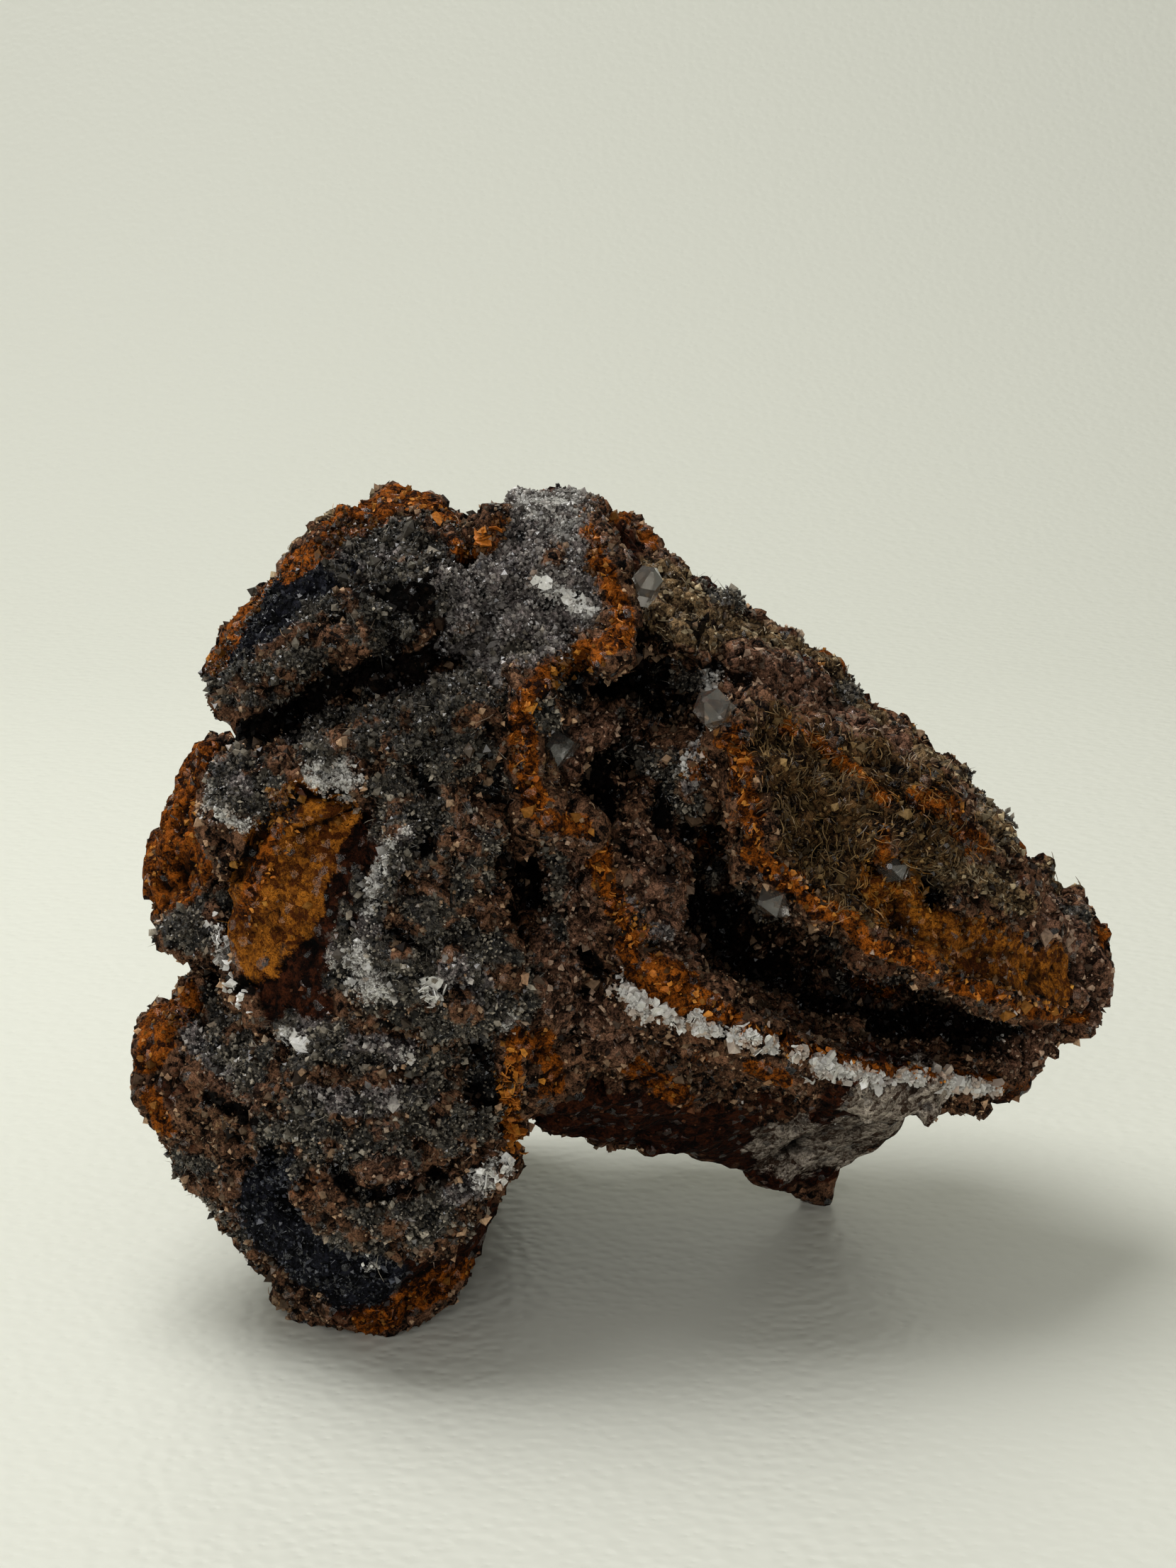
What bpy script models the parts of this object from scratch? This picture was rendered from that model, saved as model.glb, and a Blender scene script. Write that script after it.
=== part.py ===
"""A plattnerite specimen: a lump of rusty gossan with hollows, crusts of fine crystals and a white vein.

All sizes below are in millimetres and become metres through MM. +X runs to the right of the specimen's
show side, +Y away from the viewer and +Z up. The lump stands on z = 0 on three small flats, and its
origin is the middle of the bottom of its box.
"""

import math
import random

import bmesh
import bpy
from mathutils import Euler, Matrix, Vector

MM = 0.001

# How the lump is made
BODY_VOXEL = 0.75
CARVED_VOXEL = 0.6
LUMP_SPACING = 6.0
LUMP_HEIGHT = 1.5
PIT_SPACING = 3.0
PIT_DEPTH = 1.2
GOSSAN_TRIANGLES = 3480

# How the crusts are made: the crust lies inside its lobes, in a pocket of the lump that is wider by the gap
CRUST_VOXEL = 0.55
CRUST_GRAIN = 1.5
CRUST_RELIEF = 0.6
POCKET_VOXEL = 0.9
POCKET_GAP = 0.4
POCKET_TRIANGLES = 130
CRYSTAL_GAP = 0.3
LINING_GAP = 0.4
LINING_THICKNESS = 1.1

# Broken chunks of rock. Each one is the hull of its corners (x, y, z).
CHUNKS = {
    "core": (
        (-24, -12, 22), (-20, -15, 37), (-6, -12, 40), (1, -10, 43), (10, -10, 38), (18, -9, 30),
        (25, -5, 22), (23, -5, 17), (8, -10, 18), (-6, -12, 13), (-22, 9, 39), (-26, 9, 27),
        (-20, 14, 14), (0, 18, 10), (14, 15, 12), (23, 10, 20), (22, 11, 29), (14, 16, 34),
        (4, 17, 40), (-8, 12, 44),
    ),
    "hood": (
        (-27.2, -4, 40.8), (-24.5, -4, 44.9), (-20, -3, 49.2), (-15.2, 0, 51.6), (-11.8, -1, 50.6),
        (-10.8, -2, 47), (-25.8, -10, 40), (-21, -13, 44), (-15, -13.5, 46.5), (-11, -11, 46),
        (-24, -12.5, 38), (-17, -12, 40), (-12, -10, 42), (-24, 8, 42), (-19, 10, 47),
        (-13, 9, 49), (-11, 8, 44), (-26, 4, 37),
    ),
    "saddle": (
        (-13, -3, 48.6), (-7, -3, 49.4), (-12, -9, 45.4), (-6.5, -9.5, 46), (-12.5, -12, 41),
        (-6, -12.5, 42), (-12, 6, 46), (-7, 6, 47), (-9, 0, 40),
    ),
    "shelf": (
        (-26, -11, 35.5), (-25, -14, 33), (-19.3, -16, 39), (-14, -16.5, 41), (-9.8, -15.5, 42.6),
        (-6.5, -14, 41), (-6, -10, 36), (-16, -18, 35), (-22, -6, 36), (-8, -6, 42), (-14, -17, 30),
    ),
    "front": (
        (-15.4, -17.5, 36.3), (-18.5, -16.5, 37.2), (-24.5, -15.5, 29), (-25, -14.5, 24.5),
        (-20, -19.5, 22), (-13, -20.5, 30), (-8, -18.5, 21), (-6.5, -17, 28), (-5.5, -15.5, 34),
        (-10, -8, 34), (-22, -8, 24), (-22, -19.4, 17), (-14, -21.4, 16), (-8, -18.6, 15),
    ),
    "flank": (
        (-27.4, -4, 36.4), (-30.2, -4, 29), (-32.4, -3, 25.8), (-29, -3.5, 24.2), (-26, -8, 23),
        (-24, -11, 35.5), (-27, 8, 34), (-28, 8, 27), (-24, 10, 23), (-25.5, -11.5, 30),
    ),
    "leg": (
        (-28.5, -9, 20.6), (-31.8, -9, 16.6), (-31.0, -8, 12.6), (-29.2, -11, 10.4), (-26.2, -11, 5.8),
        (-23.2, -11, 1.6), (-20.2, -13, -0.8), (-12.6, -12.5, -0.8), (-9.6, -13, 4.2),
        (-7.8, -13, 8.6), (-7.4, -11, 12), (-7.4, -11, 18), (-25, -18, 16.5), (-16, -21, 18),
        (-10, -19, 17), (-24, -18, 9), (-15, -20.5, 7), (-10, -17, 9), (-18, -17, 1.6),
        (-27, -1, 19), (-27, 3, 12), (-22, 3, 4), (-20, -1, -0.8), (-13, -3, -0.8), (-10, 2, 6),
        (-8, 2, 14),
    ),
    "crest": (
        (-9.4, -2, 50.2), (-7.6, -3, 51.2), (-5, -3, 50.6), (-2.9, -1.5, 51.4), (-1.2, -1.5, 50.4),
        (0.9, 2, 48.9), (2, 8, 45), (-9, 8, 46.5), (-4, 10, 48), (-8, -9, 43), (-1.5, -11, 44),
        (3, -8, 42), (-7.6, -8, 48), (-3, -8, 48.4),
    ),
    "brow": (
        (7, -11, 40), (2, -10, 45), (0.9, 0, 48.4), (5.4, 13.5, 40.2), (10.8, 15, 37),
        (16.2, 14, 34.3), (21.4, 11, 30.9), (25.1, 8, 28), (27.2, 4, 24.4), (31.6, 2, 21.6),
        (33.0, 1, 18.5), (26, -6.5, 21), (21, -12, 25.5), (14.5, -13.5, 26), (9, -13.5, 30),
        (7.5, -12.5, 36), (14, -12, 34), (10, 0, 28), (22, 8, 20),
    ),
    "jaw": (
        (-0.3, -15, 24), (4.6, -15, 20.6), (10.4, -14, 18.6), (14.6, -11.5, 16.2),
        (19.4, -8.5, 14.2), (24.3, -3, 11.8), (27.9, -2, 12.9), (31.2, -1, 14.8), (32.8, 1, 17.4),
        (28, 6, 20), (20, 10, 14), (2, -6, 24), (-2, -12, 20), (12, 0, 14),
    ),
    "cheek": (
        (-6, -14, 31), (-4.5, -13.5, 35), (-1, -15.5, 31), (3.4, -14, 29), (3.5, -12, 33),
        (-0.5, -17, 25), (-6, -16, 22), (-6.5, -15, 14), (-1, -15.5, 19), (3.5, -14.5, 22),
        (-4, -8, 20), (2, -6, 30),
    ),
    "base": (
        (-6.5, -12, 20), (-6, -9, 11.2), (-4.7, -6, 10.1), (-0.1, -2, 7.7), (5.3, 2, 5.1),
        (9.6, 5, 3.4), (16.4, 6.6, 4.6), (21.0, 3.8, 10), (22, -4, 13.4), (10, -11, 17),
        (2, -13, 19), (20, 12, 12), (0, 16, 13), (-6, 10, 13), (15, 12.5, 6),
    ),
    "spur": (
        (2.4, 0.2, 6.6), (13.1, 6.6, -0.5), (13.7, 6.8, -0.5), (13.4, 8.0, -0.5), (21.4, 4.2, 10.2),
        (20, 9, 11), (12, 1, 9), (15, 12, 8), (6, 9, 7),
    ),
    "heel": (
        (-18, 10.5, -0.8), (-10.5, 17.5, -0.8), (-10.5, 11, -0.8), (-17, 17, -0.8), (-21, 5, 12),
        (-8.5, 6, 14), (-7, 19, 12), (-20, 18, 13), (-19, 8, 3), (-8.8, 14, 5), (-12, 20, 6),
    ),
}

# Rounded swellings: centre, radii, and turns about X, Y and Z in degrees
LOBES = (
    ((-27.2, -8.5, 24.4), (3.4, 4.4, 2.4), (0, -12, 0)),
    ((14.5, -6, 31), (8.2, 8.0, 6.2), (0, 28, 0)),
    ((20.5, -4.5, 27), (6.5, 7, 4.6), (0, 35, 0)),
    ((-22.5, -14.2, 33.4), (4.4, 3.4, 4.4), (0, 0, 0)),
    ((-26.8, -9.5, 15.8), (4.8, 6.5, 5.2), (0, 0, 0)),
    ((3.2, 12.5, 40.6), (2.9, 4, 2.3), (0, 20, 0)),
    ((3.2, -13.6, 22.6), (3.2, 2.6, 2.2), (0, 15, 0)),
    ((-6, 15, 30), (14, 7, 10), (0, 10, 0)),
    ((14, 13, 22), (9, 6, 8), (0, 30, 0)),
    ((-6.6, -14.6, 21), (3.6, 3.2, 7), (0, 0, 0)),
)

# Ledges of harder rust that stand out: route, and the radius of the ridge
LEDGES = (
    (((-2.6, -3, 50.4), (-1.6, -8, 48.4), (-0.4, -12, 45.6), (-1.6, -13.6, 43.6), (-5.4, -14.8, 42),
      (-7, -15.8, 39.6), (-6.6, -16, 36), (-5.6, -16.2, 33.6), (-2.6, -16, 33)), 1.2),
    (((7.2, -11.6, 40.4), (6.8, -13.2, 37.4), (6.5, -14.2, 34.6), (8, -15, 31.6), (9.4, -15.2, 29.4),
      (12, -14.9, 27), (14.8, -14.4, 24.8), (18, -13, 23.4), (22, -10.4, 21), (26, -7, 19.4),
      (30, -2, 18.4)), 1.5),
    (((-1, -15.8, 31), (0.2, -16.4, 27.6), (0.6, -16.6, 25.2), (3.4, -16, 22.6), (6.2, -15.6, 21),
      (10.4, -14.6, 19.6), (14.6, -12, 17.2), (19.4, -9, 15.2), (24.3, -4.4, 13.2)), 1.4),
    (((10, -9, 38.6), (13, -9.6, 36.4), (17, -9, 33.6), (21, -8, 30.4)), 1.1),
)

# Smaller hollows that are carved out bare: centre, radii, turns
BARE_HOLLOWS = (
    ((1.4, -10, 40.4), (5.0, 8.4, 2.8), (0, 12, 0)),
    ((-1.6, -11, 36.6), (3.4, 6.4, 3.4), (0, 0, 0)),
    ((3.2, -9.6, 36.6), (2.6, 6.4, 3.6), (0, -10, 0)),
    ((2.0, -10.5, 45.0), (1.4, 3.2, 1.8), (0, 20, 0)),
    ((18.8, -11.6, 28.8), (1.7, 3.2, 1.3), (0, 40, 0)),
    ((-7.4, -16.5, 29), (2.6, 7.4, 2.7), (0, -15, 0)),
    ((-16.8, -14.8, 40.6), (6.6, 6.8, 1.7), (0, -22, 0)),
    ((-10.6, -13.6, 44.2), (2.0, 4.0, 2.0), (0, 30, 0)),
    ((-10.3, -3, 50.6), (0.8, 7, 1.9), (0, 0, 0)),
    ((-30.4, -10, 22), (4.8, 6, 1.1), (0, -24, 0)),
)

# Blocks left standing inside the bare hollows: centre, radii, turns
INNER_BLOCKS = (
    ((-3.4, -9.4, 36.6), (2.7, 4.2, 2.7), (0, 15, 10)),
    ((3.4, -8.6, 35.2), (2.6, 4.4, 2.0), (0, -10, 0)),
)

# The big hollow of the right side, which has a lining: centre, radii, turns
LINED_HOLLOW = (
    ((14.4, -9, 21.4), (11.0, 11, 3.8), (0, 21, 0)),
    ((9.0, -9.5, 24.0), (5.2, 9.6, 4.5), (0, 30, 0)),
    ((5.0, -10.5, 28.2), (2.5, 7.5, 5.0), (0, 10, 0)),
)
LINING_TRIANGLES = 300

# Crusts of fine crystals: the lobes that each one fills, its triangles, and how many crystals stand out
CRUSTS = {
    "hood_druse": (
        (((-15.0, -11.8, 45.2), (4.8, 2.6, 3.4), (-18, -20, 8)),
         ((-19.8, -11.4, 42.8), (4.4, 2.4, 2.6), (-15, -32, -20)),
         ((-11.8, -10.4, 46.8), (2.2, 2.2, 2.0), (0, 0, 0))),
        340, 8,
    ),
    "front_druse": (
        (((-19.6, -15.6, 36.2), (5.0, 2.4, 2.4), (-20, -20, -12)),
         ((-12, -15.8, 38.6), (5.4, 2.4, 3.0), (-12, -14, 8)),
         ((-11.4, -18.2, 32.4), (4.2, 2.8, 4.4), (0, 0, 6)),
         ((-12.0, -19.0, 25.6), (5.2, 2.8, 5.2), (6, 0, 4))),
        480, 12,
    ),
    "leg_druse": (
        (((-14.6, -20.3, 13.2), (6.6, 2.6, 5.8), (0, 10, 4)),
         ((-21.0, -18.1, 16.0), (4.2, 2.6, 4.0), (0, 0, -22))),
        380, 10,
    ),
}
GRAIN_CRYSTAL_WIDTH = (0.45, 0.8)
GRAIN_CRYSTAL_LENGTH = (1.3, 2.1)

# The quartz of the crest: the lobes it stands on, and its crystals by foot, direction, half-width and length
CREST_LOBES = (
    ((-5.8, -6.6, 47.6), (3.0, 3.2, 2.6), (0, 0, 0)),
    ((-5.4, -10.2, 44.6), (2.6, 2.4, 2.2), (0, 0, 0)),
    ((-2.6, -8.6, 46.4), (1.6, 2.2, 1.8), (0, 0, 0)),
)
CREST_CRYSTALS = (
    ((-7.6, -5.8, 47.6), (-0.35, -0.4, 1.0), 1.5, 4.2), ((-5.2, -5.6, 48.0), (0.1, -0.3, 1.0), 1.7, 4.0),
    ((-3.2, -6.8, 47.0), (0.4, -0.5, 0.9), 1.3, 3.8), ((-7.2, -8.6, 46.0), (-0.4, -0.9, 0.6), 1.4, 3.6),
    ((-5.0, -8.8, 46.2), (0.0, -0.9, 0.8), 1.6, 3.6), ((-2.8, -9.4, 45.6), (0.3, -0.9, 0.5), 1.2, 3.0),
    ((-6.4, -10.4, 44.2), (-0.3, -1.0, 0.3), 1.3, 3.0), ((-4.4, -10.8, 43.8), (0.2, -1.0, 0.1), 1.4, 2.9),
)
CREST_TRIANGLES = 150

# The white vein under the lower lip of the big hollow: its lobes' centres and half-widths
VEIN_BEADS = (
    ((-0.4, -16.6, 24.2), 1.3), ((0.6, -17.2, 22.8), 1.4), ((2.2, -17.2, 21.6), 1.4),
    ((4.0, -17.0, 20.8), 1.3), ((5.8, -16.8, 20.0), 1.3), ((7.6, -16.2, 19.2), 1.3),
    ((9.4, -15.6, 18.4), 1.5), ((11.0, -14.8, 17.6), 1.8), ((12.8, -13.8, 16.8), 2.2),
    ((14.8, -12.4, 15.8), 2.2), ((16.8, -11.0, 15.0), 2.0), ((18.8, -9.4, 14.2), 1.8),
    ((20.8, -7.6, 13.4), 1.6), ((22.6, -5.8, 12.6), 1.4),
)
VEIN_DEPTH = 1.5
VEIN_TRIANGLES = 360
VEIN_CRYSTALS = 9

# Clear crystals that stand alone: foot, direction, half-width, length, number of sides
CLEAR_CRYSTALS = {
    "window_crystal": ((9.6, -14.4, 28.6), (-0.5, -0.8, 0.15), 1.2, 3.4, 4),
    "bead_crystal": ((16.6, -11.4, 29.6), (-0.2, -0.9, 0.3), 1.1, 3.6, 6),
    "ledge_crystal": ((5.6, -12.0, 39.4), (-0.3, -0.8, 0.5), 1.3, 3.8, 6),
    "block_crystal": ((-4.2, -11.8, 37.4), (-0.2, -0.9, 0.3), 1.4, 3.8, 4),
    "brow_crystal": ((0.6, -9.2, 46.6), (0.2, -0.7, 0.6), 1.0, 3.2, 6),
}


def clear_scene():
    for obj in list(bpy.data.objects):
        bpy.data.objects.remove(obj, do_unlink=True)


def new_collection(name):
    collection = bpy.data.collections.new(name)
    bpy.context.scene.collection.children.link(collection)
    return collection


def new_object(name, bm, collection):
    mesh = bpy.data.meshes.new(name)
    bm.to_mesh(mesh)
    bm.free()
    obj = bpy.data.objects.new(name, mesh)
    collection.objects.link(obj)
    return obj


def copy_of(obj, name, collection):
    copy = bpy.data.objects.new(name, obj.data.copy())
    collection.objects.link(copy)
    return copy


def add_lobe(bm, centre, radii, turns, growth=0.0):
    """An icosphere stretched to its radii, turned and put at its centre."""
    turn = Euler([math.radians(angle) for angle in turns]).to_matrix().to_4x4()
    stretch = Matrix.Diagonal((*[(radius + growth) * MM for radius in radii], 1))
    place = Matrix.Translation(Vector(centre) * MM)
    bmesh.ops.create_icosphere(bm, subdivisions=4, radius=1, matrix=place @ turn @ stretch)


def add_chunk(bm, corners):
    """The convex hull of the corners."""
    hull = bmesh.new()
    for corner in corners:
        hull.verts.new(Vector(corner) * MM)
    made = bmesh.ops.convex_hull(hull, input=hull.verts)
    bmesh.ops.delete(hull, geom=made["geom_interior"], context="VERTS")
    bmesh.ops.recalc_face_normals(hull, faces=hull.faces)
    add_mesh(bm, hull)


def add_mesh(bm, other):
    mesh = bpy.data.meshes.new("shape")
    other.to_mesh(mesh)
    other.free()
    bm.from_mesh(mesh)
    bpy.data.meshes.remove(mesh)


def add_crystal(bm, foot, direction, half_width, length, sides=6, growth=0.0):
    """A prism with a pointed end: the hull of a ring at the foot, a ring at two thirds, and the tip."""
    turn = Vector((0, 0, 1)).rotation_difference(Vector(direction)).to_matrix()
    radius = half_width + growth
    corners = []
    rings = ((-growth, radius), (0.66 * length, 0.92 * radius), (length + growth, 0.18 * radius))
    for height, width in rings:
        for i in range(sides):
            angle = math.tau * i / sides
            corner = Vector((width * math.cos(angle), width * math.sin(angle), height))
            corners.append(Vector(foot) + turn @ corner)
    add_chunk(bm, corners)


def add_ledge(bm, route, radius):
    """A round ridge along a smooth curve, swollen in the middle and thin at its ends."""
    curve = bpy.data.curves.new("ledge", "CURVE")
    curve.dimensions = "3D"
    curve.bevel_depth = radius * MM
    curve.bevel_resolution = 3
    curve.use_fill_caps = True
    spline = curve.splines.new("NURBS")
    spline.points.add(len(route) - 1)
    for i, (point, place) in enumerate(zip(spline.points, route)):
        point.co = (*(Vector(place) * MM), 1)
        point.radius = 0.7 + 0.5 * math.sin(math.pi * i / (len(route) - 1))
    spline.use_endpoint_u = True
    spline.order_u = 3
    spline.resolution_u = 6
    guide = bpy.data.objects.new("ledge", curve)
    bpy.context.scene.collection.objects.link(guide)
    graph = bpy.context.evaluated_depsgraph_get()
    mesh = bpy.data.meshes.new_from_object(guide.evaluated_get(graph))
    tube = bmesh.new()
    tube.from_mesh(mesh)
    bmesh.ops.remove_doubles(tube, verts=tube.verts, dist=0.01 * MM)
    bmesh.ops.recalc_face_normals(tube, faces=tube.faces)
    add_mesh(bm, tube)
    bpy.data.objects.remove(guide)
    bpy.data.meshes.remove(mesh)


def add_remesh(obj, voxel):
    """Joins what overlaps into one closed skin."""
    modifier = obj.modifiers.new("skin", "REMESH")
    modifier.mode = "VOXEL"
    modifier.voxel_size = voxel * MM


def add_boolean(obj, other, operation, overlaps=False):
    modifier = obj.modifiers.new(operation.lower(), "BOOLEAN")
    modifier.operation = operation
    modifier.object = other
    modifier.use_self = overlaps


def add_smooth(obj, rounds):
    modifier = obj.modifiers.new("wear", "SMOOTH")
    modifier.factor = 0.5
    modifier.iterations = rounds


def add_noise(obj, kind, spacing, height, middle=0.5):
    """Pushes the skin in and out by a noise texture of that spacing."""
    texture = bpy.data.textures.new(kind.lower(), kind)
    texture.noise_scale = spacing * MM
    modifier = obj.modifiers.new(kind.lower(), "DISPLACE")
    modifier.texture = texture
    modifier.texture_coords = "LOCAL"
    modifier.strength = height * MM
    modifier.mid_level = middle


def add_decimate(obj, triangles):
    """Thins the mesh to about that many triangles, most where it is flat."""
    graph = bpy.context.evaluated_depsgraph_get()
    mesh = obj.evaluated_get(graph).data
    mesh.calc_loop_triangles()
    modifier = obj.modifiers.new("facets", "DECIMATE")
    modifier.ratio = min(1.0, triangles / len(mesh.loop_triangles))
    modifier.use_collapse_triangulate = True


def applied(obj):
    """Makes the object's evaluated mesh its own mesh."""
    graph = bpy.context.evaluated_depsgraph_get()
    mesh = bpy.data.meshes.new_from_object(obj.evaluated_get(graph))
    obj.modifiers.clear()
    obj.data = mesh
    return obj


def as_helper(obj):
    obj.hide_render = True
    obj.display_type = "WIRE"
    return obj


def keep_largest(obj):
    """Deletes every loose bit but the largest."""
    bm = bmesh.new()
    bm.from_mesh(obj.data)
    bmesh.ops.remove_doubles(bm, verts=bm.verts, dist=0.001 * MM)
    left = set(bm.verts)
    groups = []
    while left:
        group = []
        waiting = [left.pop()]
        while waiting:
            vert = waiting.pop()
            group.append(vert)
            near = {edge.other_vert(vert) for edge in vert.link_edges} & left
            left -= near
            waiting.extend(near)
        groups.append(group)
    groups.sort(key=len)
    for group in groups[:-1]:
        bmesh.ops.delete(bm, geom=group, context="VERTS")
    bm.to_mesh(obj.data)
    bm.free()


def give_material(obj, colour, roughness, metallic=0.0):
    made = bpy.data.materials.new(obj.name)
    made.use_nodes = True
    shader = made.node_tree.nodes["Principled BSDF"]
    shader.inputs["Base Color"].default_value = (*colour, 1)
    shader.inputs["Roughness"].default_value = roughness
    shader.inputs["Metallic"].default_value = metallic
    obj.data.materials.clear()
    obj.data.materials.append(made)


def joined_lobes(name, lobes, growth, voxel, collection):
    bm = bmesh.new()
    for centre, radii, turns in lobes:
        add_lobe(bm, centre, radii, turns, growth)
    obj = new_object(name, bm, collection)
    add_remesh(obj, voxel)
    return applied(obj)


def make_floor_cutter(helpers):
    """Everything below z = 0."""
    bm = bmesh.new()
    side, depth = 120 * MM, 10 * MM
    place = Matrix.Translation((0, 0, -depth / 2)) @ Matrix.Diagonal((side, side, depth, 1))
    bmesh.ops.create_cube(bm, size=1, matrix=place)
    return as_helper(new_object("floor_cutter", bm, helpers))


def make_gossan(parts, helpers):
    """The lump: chunks, swellings and ledges in one skin, carved, roughened and cut flat where it stands."""
    bm = bmesh.new()
    for corners in CHUNKS.values():
        add_chunk(bm, corners)
    for centre, radii, turns in LOBES:
        add_lobe(bm, centre, radii, turns)
    for route, radius in LEDGES:
        add_ledge(bm, route, radius)
    gossan = new_object("gossan", bm, parts)
    add_remesh(gossan, BODY_VOXEL)
    add_smooth(gossan, 1)
    applied(gossan)
    cutter = as_helper(joined_lobes("bare_hollows", BARE_HOLLOWS, 0.0, CARVED_VOXEL, helpers))
    add_boolean(gossan, cutter, "DIFFERENCE")
    applied(gossan)
    blocks = bmesh.new()
    blocks.from_mesh(gossan.data)
    for centre, radii, turns in INNER_BLOCKS:
        add_lobe(blocks, centre, radii, turns)
    blocks.to_mesh(gossan.data)
    blocks.free()
    add_remesh(gossan, CARVED_VOXEL)
    add_noise(gossan, "CLOUDS", LUMP_SPACING, LUMP_HEIGHT, 0.6)
    add_noise(gossan, "VORONOI", PIT_SPACING, PIT_DEPTH)
    applied(gossan)
    add_remesh(gossan, CARVED_VOXEL)
    add_decimate(gossan, GOSSAN_TRIANGLES)
    applied(gossan)
    add_boolean(gossan, make_floor_cutter(helpers), "DIFFERENCE")
    applied(gossan)
    return gossan


def make_hollow_crust(gossan, parts, helpers):
    """Carves the big hollow out of the lump, and lines it with a crust that stays clear of the lump."""
    outer = joined_lobes("lining_outside", LINED_HOLLOW, -LINING_GAP, POCKET_VOXEL, helpers)
    add_decimate(outer, LINING_TRIANGLES)
    inner = joined_lobes("lining_inside", LINED_HOLLOW, -LINING_GAP - LINING_THICKNESS, CRUST_VOXEL, helpers)
    add_noise(inner, "VORONOI", CRUST_GRAIN, CRUST_RELIEF)
    applied(inner)
    add_remesh(inner, CRUST_VOXEL)
    add_decimate(inner, LINING_TRIANGLES)
    hollow = joined_lobes("lined_hollow", LINED_HOLLOW, 0.0, POCKET_VOXEL, helpers)
    add_decimate(hollow, LINING_TRIANGLES)
    for helper in (outer, inner, hollow):
        as_helper(applied(helper))
    crust = copy_of(gossan, "hollow_crust", parts)
    add_boolean(crust, outer, "INTERSECT")
    add_boolean(crust, inner, "DIFFERENCE")
    keep_largest(applied(crust))
    add_boolean(gossan, hollow, "DIFFERENCE")
    applied(gossan)
    return crust


def carve_pocket(gossan, name, lobes, crystals, helpers):
    """Makes room in the lump for lobes and crystals, with a gap all round."""
    pocket = joined_lobes(name + "_pocket", lobes, POCKET_GAP, POCKET_VOXEL, helpers)
    add_decimate(pocket, POCKET_TRIANGLES)
    add_boolean(gossan, as_helper(applied(pocket)), "DIFFERENCE")
    applied(gossan)
    bm = bmesh.new()
    for crystal in crystals:
        add_crystal(bm, *crystal, growth=CRYSTAL_GAP)
    add_boolean(gossan, as_helper(new_object(name + "_sockets", bm, helpers)), "DIFFERENCE", overlaps=True)
    applied(gossan)


def grow_crystals(crust, crystals, helpers):
    """Fuses the crystals to the crust."""
    bm = bmesh.new()
    for crystal in crystals:
        add_crystal(bm, *crystal)
    add_boolean(crust, as_helper(new_object(crust.name + "_crystals", bm, helpers)), "UNION", overlaps=True)
    applied(crust)


def outward_crystals(crust, gossan, count):
    """Crystals at seeded places on the crust's open side, pointing away from it."""
    draw = random.Random(crust.name)
    faces = list(crust.data.polygons)
    draw.shuffle(faces)
    crystals = []
    for face in faces:
        buried, _, _, _ = gossan.ray_cast(face.center, face.normal, distance=6 * MM)
        crowded = any((face.center / MM - crystal[0]).length < 1.9 for crystal in crystals)
        if buried or crowded or face.normal.y > -0.2:
            continue
        half_width = draw.uniform(*GRAIN_CRYSTAL_WIDTH)
        length = draw.uniform(*GRAIN_CRYSTAL_LENGTH)
        lean = Vector([draw.uniform(-0.4, 0.4) for _ in range(3)])
        foot = face.center / MM - face.normal * 0.6
        crystals.append((foot, face.normal + lean, half_width, length, draw.choice((4, 5))))
        if len(crystals) == count:
            break
    return crystals


def make_crust(name, lobes, triangles, count, gossan, parts, helpers):
    """A crust within its lobes, rough inwards from them, with crystals that stand out on its open side."""
    crust = joined_lobes(name, lobes, 0.0, CRUST_VOXEL, parts)
    add_noise(crust, "VORONOI", CRUST_GRAIN, CRUST_RELIEF, 1.0)
    applied(crust)
    add_remesh(crust, CRUST_VOXEL)
    add_decimate(crust, triangles)
    keep_largest(applied(crust))
    crystals = outward_crystals(crust, gossan, count)
    carve_pocket(gossan, name, lobes, crystals, helpers)
    grow_crystals(crust, crystals, helpers)
    keep_largest(crust)
    return crust


def make_crest_quartz(gossan, parts, helpers):
    quartz = joined_lobes("crest_quartz", CREST_LOBES, 0.0, CRUST_VOXEL, parts)
    add_decimate(quartz, CREST_TRIANGLES)
    applied(quartz)
    carve_pocket(gossan, "crest_quartz", CREST_LOBES, CREST_CRYSTALS, helpers)
    grow_crystals(quartz, CREST_CRYSTALS, helpers)
    keep_largest(quartz)
    return quartz


def make_clear_crystal(name, crystal, gossan, parts, helpers):
    """One crystal whose foot is set in a socket of the lump."""
    bm = bmesh.new()
    add_crystal(bm, *crystal)
    made = new_object(name, bm, parts)
    bm = bmesh.new()
    add_crystal(bm, *crystal, growth=CRYSTAL_GAP)
    add_boolean(gossan, as_helper(new_object(name + "_socket", bm, helpers)), "DIFFERENCE")
    applied(gossan)
    return made


def stand_on_origin(parts):
    """Moves every piece so that the origin is the middle of the bottom of the whole specimen's box."""
    places = [vert.co for obj in parts.objects for vert in obj.data.vertices]
    middle = [(min(co[axis] for co in places) + max(co[axis] for co in places)) / 2 for axis in (0, 1)]
    for obj in parts.objects:
        obj.data.transform(Matrix.Translation((-middle[0], -middle[1], 0)))


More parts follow.
